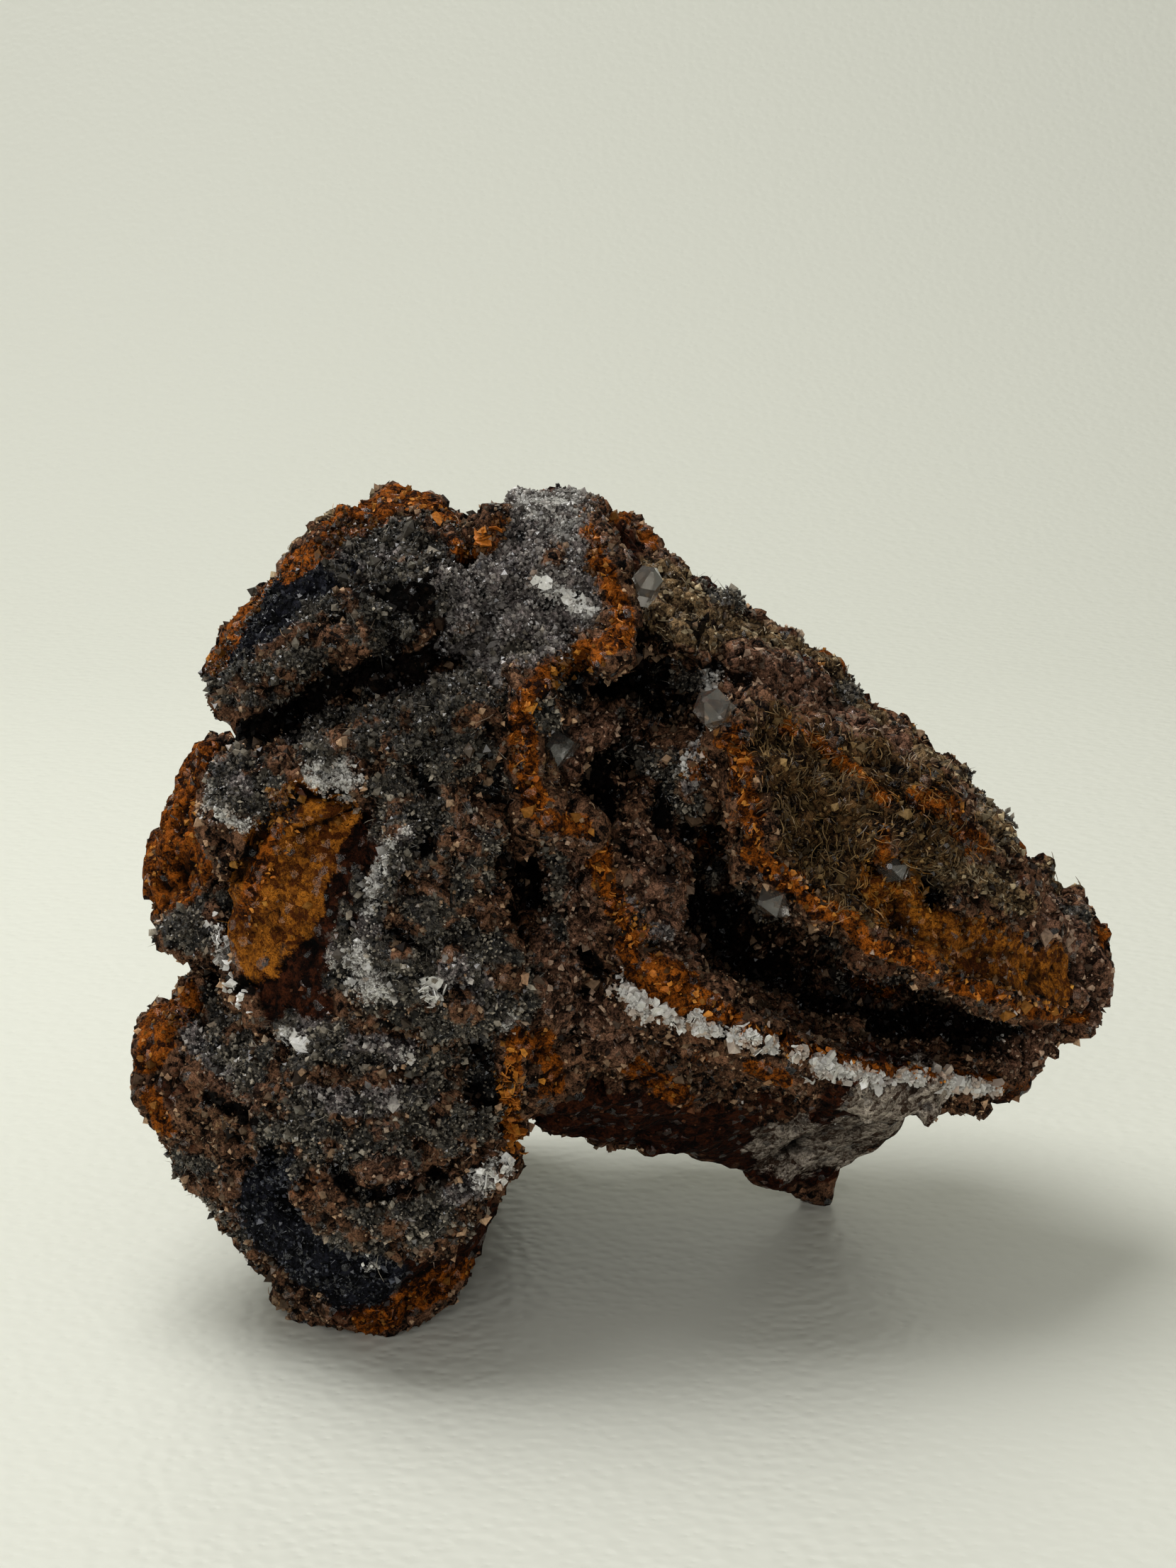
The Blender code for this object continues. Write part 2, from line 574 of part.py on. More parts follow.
def main():
    clear_scene()
    parts = new_collection("plattnerite_specimen")
    helpers = new_collection("helpers")
    gossan = make_gossan(parts, helpers)
    give_material(make_hollow_crust(gossan, parts, helpers), (0.13, 0.12, 0.11), 0.5)
    for name, (lobes, triangles, count) in CRUSTS.items():
        druse = make_crust(name, lobes, triangles, count, gossan, parts, helpers)
        give_material(druse, (0.42, 0.42, 0.41), 0.4)
    vein_lobes = [(centre, (radius, VEIN_DEPTH, radius), (0, 25, 0)) for centre, radius in VEIN_BEADS]
    vein = make_crust("white_vein", vein_lobes, VEIN_TRIANGLES, VEIN_CRYSTALS, gossan, parts, helpers)
    give_material(vein, (0.72, 0.68, 0.62), 0.45)
    give_material(make_crest_quartz(gossan, parts, helpers), (0.6, 0.61, 0.6), 0.15)
    for name, crystal in CLEAR_CRYSTALS.items():
        give_material(make_clear_crystal(name, crystal, gossan, parts, helpers), (0.9, 0.9, 0.88), 0.05)
    keep_largest(gossan)
    give_material(gossan, (0.10, 0.055, 0.03), 0.9)
    stand_on_origin(parts)


main()
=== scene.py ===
"""Looks of a plattnerite specimen: a rusty lump with grey druse, quartz, a white vein and fine fibres."""

import math

import bmesh
import bpy
import numpy as np
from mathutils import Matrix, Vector
from mathutils.bvhtree import BVHTree


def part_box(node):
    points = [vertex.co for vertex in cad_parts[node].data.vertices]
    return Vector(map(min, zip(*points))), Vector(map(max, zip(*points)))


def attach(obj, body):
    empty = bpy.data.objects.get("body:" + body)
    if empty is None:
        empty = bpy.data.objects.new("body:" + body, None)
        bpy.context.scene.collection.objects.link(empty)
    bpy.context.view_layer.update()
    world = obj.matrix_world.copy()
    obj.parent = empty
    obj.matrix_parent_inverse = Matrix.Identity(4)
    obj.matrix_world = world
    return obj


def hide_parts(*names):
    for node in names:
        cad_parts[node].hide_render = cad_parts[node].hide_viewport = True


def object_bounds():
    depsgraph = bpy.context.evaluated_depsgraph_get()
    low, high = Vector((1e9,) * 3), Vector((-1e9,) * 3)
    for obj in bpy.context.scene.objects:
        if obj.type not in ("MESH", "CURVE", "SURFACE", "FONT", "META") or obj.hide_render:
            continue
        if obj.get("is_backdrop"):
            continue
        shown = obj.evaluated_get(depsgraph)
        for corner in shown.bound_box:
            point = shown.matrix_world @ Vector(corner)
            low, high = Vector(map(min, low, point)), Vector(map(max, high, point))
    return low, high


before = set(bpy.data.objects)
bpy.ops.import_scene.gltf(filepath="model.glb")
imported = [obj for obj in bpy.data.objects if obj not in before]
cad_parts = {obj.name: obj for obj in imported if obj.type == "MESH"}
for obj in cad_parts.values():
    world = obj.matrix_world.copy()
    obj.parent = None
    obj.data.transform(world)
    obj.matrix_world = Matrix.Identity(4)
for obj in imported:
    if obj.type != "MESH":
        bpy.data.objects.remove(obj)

bl_info = {
    "name": "Plattnerite specimen",
    "version": (1, 0, 0),
    "blender": (4, 5, 0),
    "location": "3D View > Sidebar > Specimen",
    "description": "Dresses the solids of a mineral specimen with rock skin, crystals, grains and fibres",
    "category": "Object",
}

# Lengths in this file are millimetres, and turn to metres when they enter a mesh
MM = 0.001

# The picture: the camera looks down by its pitch, and its aim is the middle of the 1659 x 2212 frame
PHOTO_HEIGHT = 2212
PIXEL_SIZE = 0.0462
CAMERA_DISTANCE = 240.0
CAMERA_PITCH = math.radians(15.0)
CAMERA_AIM = np.array((-2.88, 0.84, 32.0))
SENSOR = 36.0
ACROSS = np.array((1.0, 0.0, 0.0))
UPWARD = np.array((0.0, math.sin(CAMERA_PITCH), math.cos(CAMERA_PITCH)))
LOOKING = np.array((0.0, math.cos(CAMERA_PITCH), -math.sin(CAMERA_PITCH)))
CAMERA_EYE = CAMERA_AIM - CAMERA_DISTANCE * LOOKING

# Strokes and plates follow places noted on the photo as it is shown, 1500 wide and 2000 high,
# across and down from its upper left. A step there is 1.106 points of the 1659 x 2212 frame
SHOWN_MIDDLE = (750, 1000)
SHOWN_STEP = 0.0511

# Strokes of each mineral on the show side: name, radius and rise in millimetres, and noted places
STROKES = {
    "rust": [
        ("hood top rust", 0.9, 0.2, [(470, 668), (500, 634), (540, 640), (570, 668)]),
        ("hood edge rust", 0.9, 0, [(465, 655), (420, 690), (370, 730)]),
        ("hood low edge rust", 0.9, 0, [(345, 745), (300, 800), (272, 850)]),
        ("notch rust curve", 0.55, 0.35, [(578, 690), (592, 706), (618, 702), (638, 665)]),
        ("rim top", 0.7, 0.9, [(748, 655), (755, 695), (768, 728)]),
        ("rim upper", 0.85, 1, [(768, 728), (785, 765), (797, 800), (778, 825)]),
        ("rim bend", 0.85, 1.2, [(778, 825), (740, 842), (705, 856), (680, 880)]),
        ("rim left", 0.85, 1.4, [(672, 888), (664, 930), (670, 980), (682, 1020)]),
        ("rim corner", 0.9, 1.3, [(682, 1020), (700, 1046), (745, 1056)]),
        ("behind the rim", 0.7, 0.2, [(765, 655), (800, 662), (826, 690)]),
        ("small drop under the rim", 0.5, 0.2, [(765, 1060), (772, 1085)]),
        ("ledge start", 0.65, 0.9, [(905, 905), (935, 930), (900, 960), (885, 985)]),
        ("ledge drop", 0.75, 1.2, [(940, 935), (945, 985), (958, 1040), (962, 1085)]),
        ("ledge bend", 0.8, 1.1, [(962, 1085), (975, 1110), (1010, 1125)]),
        ("ledge middle", 0.65, 1.2, [(1000, 1125), (1040, 1160), (1085, 1175), (1112, 1208)]),
        ("ledge right", 0.6, 1.1, [(1112, 1208), (1165, 1222), (1200, 1248), (1260, 1268)]),
        ("ledge end", 0.5, 0.7, [(1260, 1268), (1320, 1290), (1385, 1295)]),
        ("dome streak", 0.5, 0.1, [(1000, 925), (1045, 950), (1090, 985), (1130, 1020)]),
        ("dome patch", 1, 0, [(1175, 1015), (1215, 1040), (1240, 1075)]),
        ("dome low streak", 0.5, 0.1, [(1130, 1060), (1125, 1100), (1140, 1130)]),
        ("lip start", 0.8, 0.8, [(800, 1205), (805, 1235), (830, 1262)]),
        ("lip lumps", 1.3, 1.1, [(835, 1245), (868, 1262), (905, 1285)]),
        ("lip middle", 0.65, 0.9, [(910, 1290), (960, 1318), (1010, 1335)]),
        ("lip right", 0.5, 0.8, [(1010, 1335), (1080, 1358), (1160, 1370)]),
        ("lip end", 0.5, 0.6, [(1160, 1370), (1230, 1375), (1285, 1385), (1320, 1365)]),
        ("inner ridge", 0.9, 1.2, [(762, 1085), (770, 1125), (790, 1160)]),
        ("inner ridge low", 0.85, 1.1, [(790, 1160), (812, 1180), (800, 1215)]),
        ("oval rust edge", 0.6, 0.1, [(375, 1020), (335, 1090), (312, 1160)]),
        ("flank upper", 1.1, 0, [(255, 950), (235, 1010), (222, 1050)]),
        ("flank middle", 1.4, 0, [(230, 1060), (250, 1100), (225, 1140)]),
        ("flank tip", 0.9, 0.1, [(200, 1080), (190, 1125), (205, 1150)]),
        ("leg shoulder", 1.1, 0, [(190, 1350), (205, 1310), (240, 1275)]),
        ("leg shoulder low", 0.6, 0, [(190, 1400), (210, 1440)]),
        ("leg band right", 0.7, 0.15, [(640, 1560), (615, 1605), (570, 1630)]),
        ("leg band left", 0.9, 0.1, [(560, 1640), (510, 1665), (470, 1688)]),
        ("seam plates", 0.7, 0.3, [(660, 1325), (650, 1390), (655, 1470)]),
        ("base patch left", 1, 0, [(690, 1330), (705, 1380)]),
        ("base patch middle", 0.8, 0, [(790, 1345), (830, 1375), (870, 1395)]),
        ("base patch right", 0.6, 0, [(960, 1360), (1000, 1375)]),
        ("tip rust", 0.5, 0.1, [(1395, 1300), (1420, 1270), (1422, 1235)]),
    ],
    "ochre": [
        ("oval left", 2.1, 0.2, [(385, 1035), (355, 1090), (325, 1160), (320, 1200)]),
        ("oval middle", 1.4, 0.2, [(430, 1040), (400, 1100), (380, 1170)]),
        ("slab", 1.8, 0.1, [(1115, 1110), (1150, 1160), (1215, 1205)]),
        ("slab right", 1.9, -0.1, [(1215, 1205), (1270, 1225), (1335, 1245)]),
    ],
    "grey": [
        ("hood middle druse", 2.4, 0.2, [(450, 705), (500, 730), (530, 690)]),
        ("hood low druse", 2.2, 0.1, [(410, 780), (470, 800), (545, 790)]),
        ("hood left druse", 1.5, 0.1, [(285, 865), (340, 870), (400, 850)]),
        ("left lobe druse", 2.3, 0.3, [(300, 1000), (335, 1020)]),
        ("shelf druse", 2.1, 0.2, [(400, 950), (470, 925), (540, 895), (620, 870), (690, 850)]),
        ("shelf low druse", 2.4, 0.1, [(480, 985), (550, 960), (620, 970)]),
        ("druse right of oval", 1.7, 0.4, [(500, 1050), (480, 1100), (460, 1165)]),
        ("front druse upper", 2.8, 0.1, [(560, 1060), (600, 1110), (560, 1180)]),
        ("front druse middle", 2.6, 0.1, [(450, 1225), (520, 1240), (610, 1210)]),
        ("front druse low", 2.4, 0, [(360, 1325), (450, 1340), (540, 1330), (620, 1300)]),
        ("edge band top", 0.8, 0.9, [(690, 1050), (716, 1105), (712, 1165)]),
        ("edge band low", 0.9, 0.3, [(705, 1180), (685, 1235), (652, 1320)]),
        ("fuzz lobe", 1.6, 0.2, [(215, 1200), (255, 1180), (280, 1165)]),
        ("leg upper druse", 1.9, 0.1, [(250, 1290), (300, 1330), (350, 1380)]),
        ("leg druse", 2.6, 0.1, [(380, 1440), (450, 1430), (560, 1430), (610, 1400)]),
        ("leg low druse", 1.9, 0.1, [(440, 1560), (520, 1570), (590, 1540)]),
        ("leg left druse", 1.3, 0.1, [(230, 1470), (290, 1540), (320, 1600)]),
        ("notch druse", 1, 0, [(585, 665), (595, 690)]),
        ("inner block druse", 1, 0.2, [(695, 905), (700, 940), (720, 900)]),
        ("inner druse", 1, 0.1, [(800, 905), (850, 900), (880, 860)]),
        ("inner druse right", 1.1, 0.1, [(800, 960), (850, 975), (880, 1030)]),
        ("window side druse", 0.8, 0.2, [(945, 1100), (950, 1150), (1000, 1165)]),
    ],
    "cloudy": [
        ("crest left", 2.2, 0, [(600, 760), (640, 740), (660, 690)]),
        ("crest middle", 2.4, 0, [(640, 800), (690, 790), (720, 760)]),
        ("crest top", 1.6, 0.1, [(655, 640), (700, 650), (735, 640)]),
        ("crest right", 1.3, 0, [(730, 680), (735, 720)]),
        ("saddle", 1.6, 0, [(590, 810), (640, 830), (700, 820)]),
        ("shelf edge crust", 1, 0.4, [(385, 945), (440, 920), (500, 900), (560, 880), (620, 862),
            (690, 845)]),
        ("left lobe crust", 0.8, 0.2, [(285, 985), (320, 1010), (340, 1030)]),
        ("crust right of oval", 0.9, 0.3, [(525, 1065), (500, 1100), (480, 1150), (470, 1190)]),
        ("front crust", 1, 0.3, [(430, 1215), (480, 1235), (560, 1250)]),
        ("front low crust", 0.9, 0.2, [(380, 1310), (440, 1330), (520, 1345)]),
        ("front right crust", 0.8, 0.2, [(590, 1230), (620, 1260), (640, 1300)]),
        ("leg crust", 0.9, 0.2, [(390, 1400), (450, 1410), (540, 1395)]),
        ("leg left crust", 0.7, 0.2, [(225, 1300), (260, 1340), (300, 1370)]),
        ("leg low crust", 0.8, 0.2, [(520, 1545), (580, 1530), (620, 1500)]),
        ("leg edge crust", 0.6, 0.2, [(240, 1500), (280, 1570), (320, 1630)]),
        ("hood crust", 0.7, 0.2, [(440, 700), (475, 715), (520, 700)]),
        ("inner crust", 0.6, 0.2, [(880, 1000), (895, 960), (915, 910)]),
        ("jaw crust", 0.5, 0.2, [(800, 1150), (815, 1180), (850, 1190)]),
    ],
    "white": [
        ("crest cap", 1.3, 0.2, [(655, 635), (690, 645), (730, 650)]),
        ("crest edge", 0.7, 0.2, [(728, 660), (722, 690)]),
        ("crest streak", 0.45, 0.4, [(690, 735), (715, 760), (755, 785)]),
        ("white lump", 1.1, 0.7, [(405, 985), (440, 980), (450, 1000)]),
        ("lobe rim", 0.45, 0.2, [(263, 1005), (270, 1035), (310, 1055)]),
        ("oval edge crust", 0.55, 0.5, [(277, 1180), (288, 1230), (308, 1290)]),
        ("oval right crust", 0.45, 0.4, [(520, 1060), (500, 1075), (478, 1125), (470, 1160)]),
        ("pale patch", 0.7, 0.2, [(425, 1225), (455, 1215), (490, 1265), (450, 1260)]),
        ("leaf tuft root", 0.5, 0.1, [(545, 1262), (555, 1270)]),
        ("white blob", 0.5, 0.5, [(518, 1348), (524, 1352)]),
        ("white flake", 0.5, 0.1, [(362, 1318), (385, 1328)]),
        ("small flake", 0.4, 0.1, [(462, 1610), (478, 1612)]),
        ("leg right patch", 0.8, 0.3, [(615, 1505), (640, 1490)]),
        ("leg edge bits", 0.5, 0.2, [(275, 1555), (290, 1590)]),
        ("leg edge low bits", 0.45, 0.2, [(310, 1620), (340, 1645)]),
        ("edge band bright", 0.4, 0.2, [(655, 1280), (645, 1310)]),
        ("vein clump", 0.6, 0.5, [(793, 1258), (815, 1285), (850, 1300)]),
        ("vein middle", 0.3, 0.3, [(870, 1308), (930, 1318), (985, 1335)]),
        ("vein right", 0.42, 0.3, [(1020, 1345), (1060, 1368), (1120, 1375)]),
        ("vein end", 0.36, 0.3, [(1150, 1372), (1200, 1378), (1265, 1390)]),
        ("upper white crystals", 0.8, 0.2, [(905, 862), (915, 890), (925, 915)]),
        ("inner white crystals", 0.6, 0.1, [(890, 955), (878, 978)]),
    ],
    "blue": [
        ("hood blue face", 1.9, 0, [(430, 715), (385, 750), (345, 790)]),
        ("hood low blue face", 1.6, 0, [(330, 800), (295, 835)]),
        ("leg blue face", 2.4, -0.1, [(350, 1560), (400, 1610), (470, 1620)]),
        ("leg low blue face", 1.6, 0, [(350, 1490), (330, 1540)]),
    ],
    "olive": [
        ("dome crown", 3, 0.9, [(990, 960), (1050, 1010), (1080, 1060)]),
        ("dome right", 2.6, 0.8, [(1100, 990), (1160, 1020), (1200, 1080)]),
        ("dome low", 2, 0.5, [(1010, 1060), (1060, 1110), (1100, 1150)]),
    ],
    "tan": [
        ("back knob", 1.4, 0, [(845, 735), (875, 755)]),
        ("right slope fibres", 1.1, 0, [(800, 770), (850, 790), (900, 810)]),
        ("skyline fibres", 0.9, 0, [(900, 790), (980, 815), (1060, 860), (1130, 900)]),
        ("right edge fibres", 1, 0, [(1180, 960), (1240, 1020), (1290, 1080)]),
        ("hollow right fibres", 0.9, 0, [(1200, 1120), (1260, 1120), (1300, 1150)]),
    ],
    # The dark strokes dig the hollows, crevices and creases and paint them near black: painted shade. The
    # hood strokes darken the hood's dark front, partly its own colour and partly painted shade
    "dark": [
        ("big hollow", 2.4, -3.8, [(900, 1130), (935, 1185), (1000, 1235), (1080, 1275), (1160, 1300)]),
        ("big hollow right", 1.3, -2, [(1160, 1300), (1240, 1315), (1290, 1325)]),
        ("slot", 1.3, -3.4, [(885, 1060), (900, 1105), (915, 1150)]),
        ("upper hollow", 1.7, -3.2, [(735, 870), (790, 862), (850, 885)]),
        ("inner hollow", 1.5, -3.2, [(790, 960), (770, 1000), (765, 1035)]),
        ("side hollow", 1.5, -2.8, [(655, 1095), (680, 1115), (690, 1140)]),
        ("hood crevice", 1.4, -2.4, [(380, 915), (420, 880), (480, 860), (540, 850), (570, 830)]),
        ("hood dark face", 1.5, -0.5, [(475, 745), (530, 765), (500, 805)]),
        ("hood right dark", 1.1, -0.5, [(552, 705), (560, 765)]),
        ("hood side crevice", 0.8, -1.2, [(575, 730), (572, 790)]),
        ("flank crevice", 1.1, -1.6, [(350, 915), (310, 935), (275, 945)]),
        ("small hollow", 0.95, -2.6, [(1175, 1105), (1190, 1145)]),
        ("crevice beside the ledge", 0.8, -2.2, [(850, 1000), (842, 1060), (850, 1110)]),
        ("crevice over the rim", 0.7, -1.8, [(800, 850), (820, 815), (815, 740)]),
        ("jaw pits", 0.6, -1.8, [(800, 1075), (815, 1100)]),
        ("jaw low pits", 0.6, -1.6, [(745, 1210), (760, 1240)]),
        ("dome crease", 0.5, -1.2, [(1010, 1000), (1060, 1075), (1120, 1110)]),
        ("slope crease", 0.6, -1.3, [(900, 850), (960, 880), (1040, 905)]),
        ("front crease", 0.7, -1.5, [(535, 985), (560, 1030), (540, 1085)]),
        ("front low crease", 0.6, -1.3, [(500, 1190), (540, 1210), (600, 1180)]),
        ("leg crease", 0.6, -1.2, [(270, 1400), (340, 1440), (350, 1480)]),
        ("leg middle crease", 0.6, -1.2, [(430, 1490), (460, 1530), (560, 1500)]),
        ("crest crease", 0.6, -1.3, [(600, 720), (625, 770), (620, 800)]),
        ("oval edge shade", 0.5, -1, [(300, 1120), (345, 1040), (385, 1012), (440, 1015)]),
        ("lip pit", 0.5, -1.4, [(835, 1205), (860, 1222)]),
        ("brow pit", 0.5, -1.2, [(820, 790), (850, 830)]),
        ("notch shade", 0.6, -1, [(275, 1245), (320, 1262)]),
        ("leg right shade", 1, -1.6, [(605, 1330), (620, 1400)]),
    ],
    # The wedge stroke paints the wedge's right face pale: partly its own silvery grey, partly a painted sheen
    "silver_and_sheen": [
        ("wedge sheen", 2.3, 0, [(1000, 1455), (1070, 1455), (1130, 1415), (1170, 1390)]),
    ],
    "umber": [
        ("wedge", 3.4, 0, [(1100, 1420), (1050, 1460), (1150, 1390)]),
        ("base", 2.6, 0, [(720, 1420), (820, 1435), (920, 1450), (1000, 1470)]),
        ("oval dark side", 1.7, 0, [(460, 1060), (440, 1130), (390, 1240)]),
        ("oval low side", 1.8, 0, [(360, 1260), (385, 1280)]),
        ("leg low right", 1.6, 0, [(460, 1650), (560, 1600), (620, 1560)]),
    ],
    "clay": [
        ("jaw upper", 2, 0.3, [(730, 1090), (735, 1150), (720, 1200)]),
        ("jaw middle", 1.8, 0.3, [(700, 1250), (740, 1290), (790, 1320)]),
        ("jaw right", 1.6, 0.4, [(830, 1080), (840, 1150), (860, 1205)]),
        ("inner shelf", 1.4, 0.3, [(720, 960), (745, 930), (790, 935)]),
        ("tip grains", 2, 0.2, [(1340, 1180), (1385, 1240), (1405, 1300)]),
        ("tip low grains", 1.4, 0.2, [(1330, 1345), (1290, 1350)]),
        ("slope grains", 2, 0.2, [(960, 860), (1060, 905), (1130, 950)]),
        ("nodules", 1.3, 0.3, [(480, 1480), (510, 1500), (500, 1450)]),
        ("leg brown patch", 1.2, 0, [(290, 1370), (320, 1400)]),
    ],
}
STROKE_STEP = 0.4

# A stroke reaches this much nearer and farther than the rock that the camera sees under it
STROKE_DEPTH = 1.6

# Each mineral's dark and light colour on the skin and the colour of its brightest grains, in the
# order in which it lies over the ones before it
MINERALS = {
    # dark is no mineral: its colours paint shade into the hollows, crevices and creases
    "dark": ("#030201", "#120A06", "#33251B"),
    "umber": ("#0E0503", "#4A2412", "#74472C"),
    "clay": ("#1E120C", "#9A7058", "#D4B296"),
    "olive": ("#0E0704", "#6C4E2E", "#96784C"),
    "tan": ("#1A100A", "#A0825C", "#DCC59C"),
    # Pale colours of the wedge: partly its own silvery grey, partly a painted sheen
    "silver_and_sheen": ("#3A2A20", "#C4B6A6", "#E6DDD2"),
    "blue": ("#050506", "#24252E", "#5A5D68"),
    "cloudy": ("#1E1617", "#A39690", "#E8DFD6"),
    # The grey skin under the druse crystals is near black: partly the druse's own dark ground, partly painted
    # shade between the crystals
    "grey": ("#090705", "#5C5448", "#C4B8A4"),
    "ochre": ("#4C2408", "#B87022", "#D09440"),
    "rust": ("#1C0A03", "#AC5C18", "#CC8634"),
    "white": ("#4E463E", "#F0ECE2", "#FAF8F2"),
}
ROCK_DARK = "#080403"
ROCK_LIGHT = "#8C644A"
ROCK_BRIGHT = "#CCA682"

# Places with a smooth skin and no crystals: middle and reach
CALM_PLACES = [
    ((13.0, 7.5, 3.0), 8.5),
    ((15.5, 5.5, 8.0), 6.0),
    ((19.5, 7.0, 11.0), 5.5),
    ((5.0, 2.0, 6.5), 6.0),
]

# Thin broken plates of each mineral: name, how many, size in millimetres, how upright, and noted places
PLATES = {
    "rust": [
        ("notch flake", 16, 0.6, 0.8, [(600, 635), (615, 690), (640, 665)]),
        ("seam plates", 70, 0.45, 0.9, [(655, 1330), (648, 1400), (657, 1475)]),
        ("rim plates", 24, 0.3, 0.7, [(748, 655), (768, 728), (797, 800), (778, 825)]),
        ("rim low plates", 26, 0.28, 0.7, [(705, 856), (672, 888), (664, 930), (670, 980), (682, 1020),
            (745, 1056)]),
        ("ledge plates", 40, 0.28, 0.6, [(940, 935), (945, 985), (962, 1085), (1010, 1125), (1085, 1175)]),
        ("ledge right plates", 30, 0.26, 0.6, [(1112, 1208), (1200, 1248), (1260, 1268), (1385, 1295)]),
        ("inner ridge plates", 24, 0.32, 0.8, [(760, 1085), (775, 1130), (800, 1180), (800, 1225)]),
        ("lip plates", 44, 0.28, 0.4, [(805, 1235), (868, 1262), (960, 1318), (1080, 1358), (1230, 1375)]),
        ("hood top plates", 20, 0.28, 0.4, [(470, 668), (500, 634), (540, 640), (570, 668)]),
        ("oval left plates", 24, 0.22, 0.5, [(385, 1035), (355, 1090), (325, 1160), (320, 1200)]),
    ],
    "white": [
        ("streak plates", 26, 0.5, 0.3, [(690, 740), (730, 765), (765, 788)]),
        ("leaf tuft", 18, 0.6, 1, [(540, 1258), (552, 1270)]),
        ("oval edge leaves", 46, 0.45, 0.6, [(275, 1175), (285, 1225), (308, 1290)]),
        ("large flake", 4, 0.7, 0.2, [(365, 1318), (385, 1328)]),
        ("leg edge flakes", 16, 0.35, 0.5, [(272, 1550), (292, 1595), (335, 1640)]),
        ("small flake", 4, 0.35, 0.3, [(462, 1610), (478, 1612)]),
        ("leg right flakes", 24, 0.45, 0.4, [(612, 1505), (650, 1485)]),
        ("vein flakes", 90, 0.4, 0.5, [(793, 1258), (850, 1300), (930, 1318), (1020, 1345), (1120, 1375)]),
    ],
}

# Where the skin's crystals belong to the hood, the leg or the vein: limits across and up, in millimetres
HOOD_RIGHT = -7.0
HOOD_FOOT = 38.5
LEG_RIGHT = -4.0
LEG_TOP = 19.8
VEIN_LEFT = -4.0
VEIN_TOP = 27.0

# Sizes of the materials' patterns in millimetres. Grit and mottle are about as fine as the render shows
BLOTCH_SIZE = 2.2
GRAIN_SIZE = 0.5
GRIT_SIZE = 0.22
FACET_SIZE = 0.24
MOTTLE_SIZE = 0.2
VEIL_SIZE = 0.8
PEBBLE_SIZE = 0.9

# The soft lights: where each stands, what it faces, and how wide it is
KEY_LIGHT = ((-110, 50, 330), (0, 0, 15), 210)
FILL_LIGHT = ((-60, -480, 160), (0, 0, 20), 300)

# What the operators share: the CAD box, the strokes' places, the rock's skin and its search tree
MADE = {}


def linear(code):
    """A colour's sRGB hex code as linear red, green and blue."""
    parts = [int(code[place:place + 2], 16) / 255 for place in (1, 3, 5)]
    return tuple(part / 12.92 if part <= 0.04045 else ((part + 0.055) / 1.055) ** 2.4 for part in parts)


def size_setting(name, description, size):
    """A length setting, given in millimetres."""
    return bpy.props.FloatProperty(name=name, description=description, default=size * MM, unit="LENGTH")


def count_setting(name, description, number):
    """A whole-number setting."""
    return bpy.props.IntProperty(name=name, description=description, default=number)


class RockSettings(bpy.types.PropertyGroup):
    """Sizes of the rock's skin."""

    voxel: size_setting("Skin voxel", "Grid step of the rock's skin before it is thinned", 0.23)
    triangles: count_setting("Skin triangles", "Triangles left in the rock's skin", 190000)
    swell: size_setting("Crust swell", "How far the crusts grow, to close the gap to their pockets", 0.34)
    relief: size_setting("Relief", "Height of the broad lumps", 0.75)
    pit_depth: size_setting("Pit depth", "Depth of the small pits", 1.9)
    grape_height: size_setting("Grape height", "Height of the rounded grains", 0.5)


class CrystalSettings(bpy.types.PropertyGroup):
    """Numbers and middling sizes of the small crystals, grains and fibres."""

    druse_count: count_setting("Druse crystals", "Crystals on each grey druse", 11000)
    druse_length: size_setting("Druse length", "Length of a druse crystal", 0.23)
    crest_count: count_setting("Crest crystals", "Cloudy crystals on the crest", 10000)
    crest_length: size_setting("Crest length", "Length of a crest crystal", 0.25)
    vein_count: count_setting("Vein crystals", "White crystals of the vein", 3500)
    vein_length: size_setting("Vein length", "Length of a vein crystal", 0.3)
    lining_count: count_setting("Hollow crystals", "Dark crystals that line the big hollow", 5000)
    lining_length: size_setting("Hollow crystal length", "Length of a crystal of the big hollow", 0.3)
    grain_count: count_setting("Grains", "Grains on the show side of the bare rock", 22000)
    grain_size: size_setting("Grain size", "Width of a grain", 0.25)
    needle_count: count_setting("Needles", "Fine grey needles of the fuzz", 8000)
    needle_length: size_setting("Needle length", "Length of a needle", 0.42)
    needle_radius: size_setting("Needle radius", "Radius of a needle", 0.03)
    strand_count: count_setting("Strands", "Wiry strands on the dome, and on the right slope", 2800)
    strand_width: size_setting("Strand width", "Thickness of a wiry strand", 0.075)


class StageSettings(bpy.types.PropertyGroup):
    """Floor and lights."""

    floor_colour: bpy.props.FloatVectorProperty(
        name="Floor colour", description="Colour of the pale grained floor",
        subtype="COLOR", default=linear("#E7E8DC"))
    key_power: bpy.props.FloatProperty(
        name="Key power", description="Power of the soft light overhead", default=0.9, unit="POWER")
    fill_power: bpy.props.FloatProperty(
        name="Fill power", description="Power of the weak light from the front", default=0.6, unit="POWER")
    sky: bpy.props.FloatProperty(
        name="Sky", description="Strength of the even light from all round", default=0.38)


# Noise

TABLE = np.random.default_rng(4101)
SHUFFLE = TABLE.permutation(256)
SLOPES = TABLE.normal(size=(256, 3))
SLOPES /= np.linalg.norm(SLOPES, axis=1)[:, None]
SPOTS = TABLE.random((256, 3))
MARKS = TABLE.random(256)
CORNERS = [(x, y, z) for x in (0, 1) for y in (0, 1) for z in (0, 1)]
AROUND = [(x, y, z) for x in (-1, 0, 1) for y in (-1, 0, 1) for z in (-1, 0, 1)]


def shuffled(cells):
    """One number from 0 to 255 for each whole-number cell: the cell's steps looked up one after another."""
    first = SHUFFLE[cells[:, 0] & 255]
    second = SHUFFLE[(first + cells[:, 1]) & 255]
    return SHUFFLE[(second + cells[:, 2]) & 255]


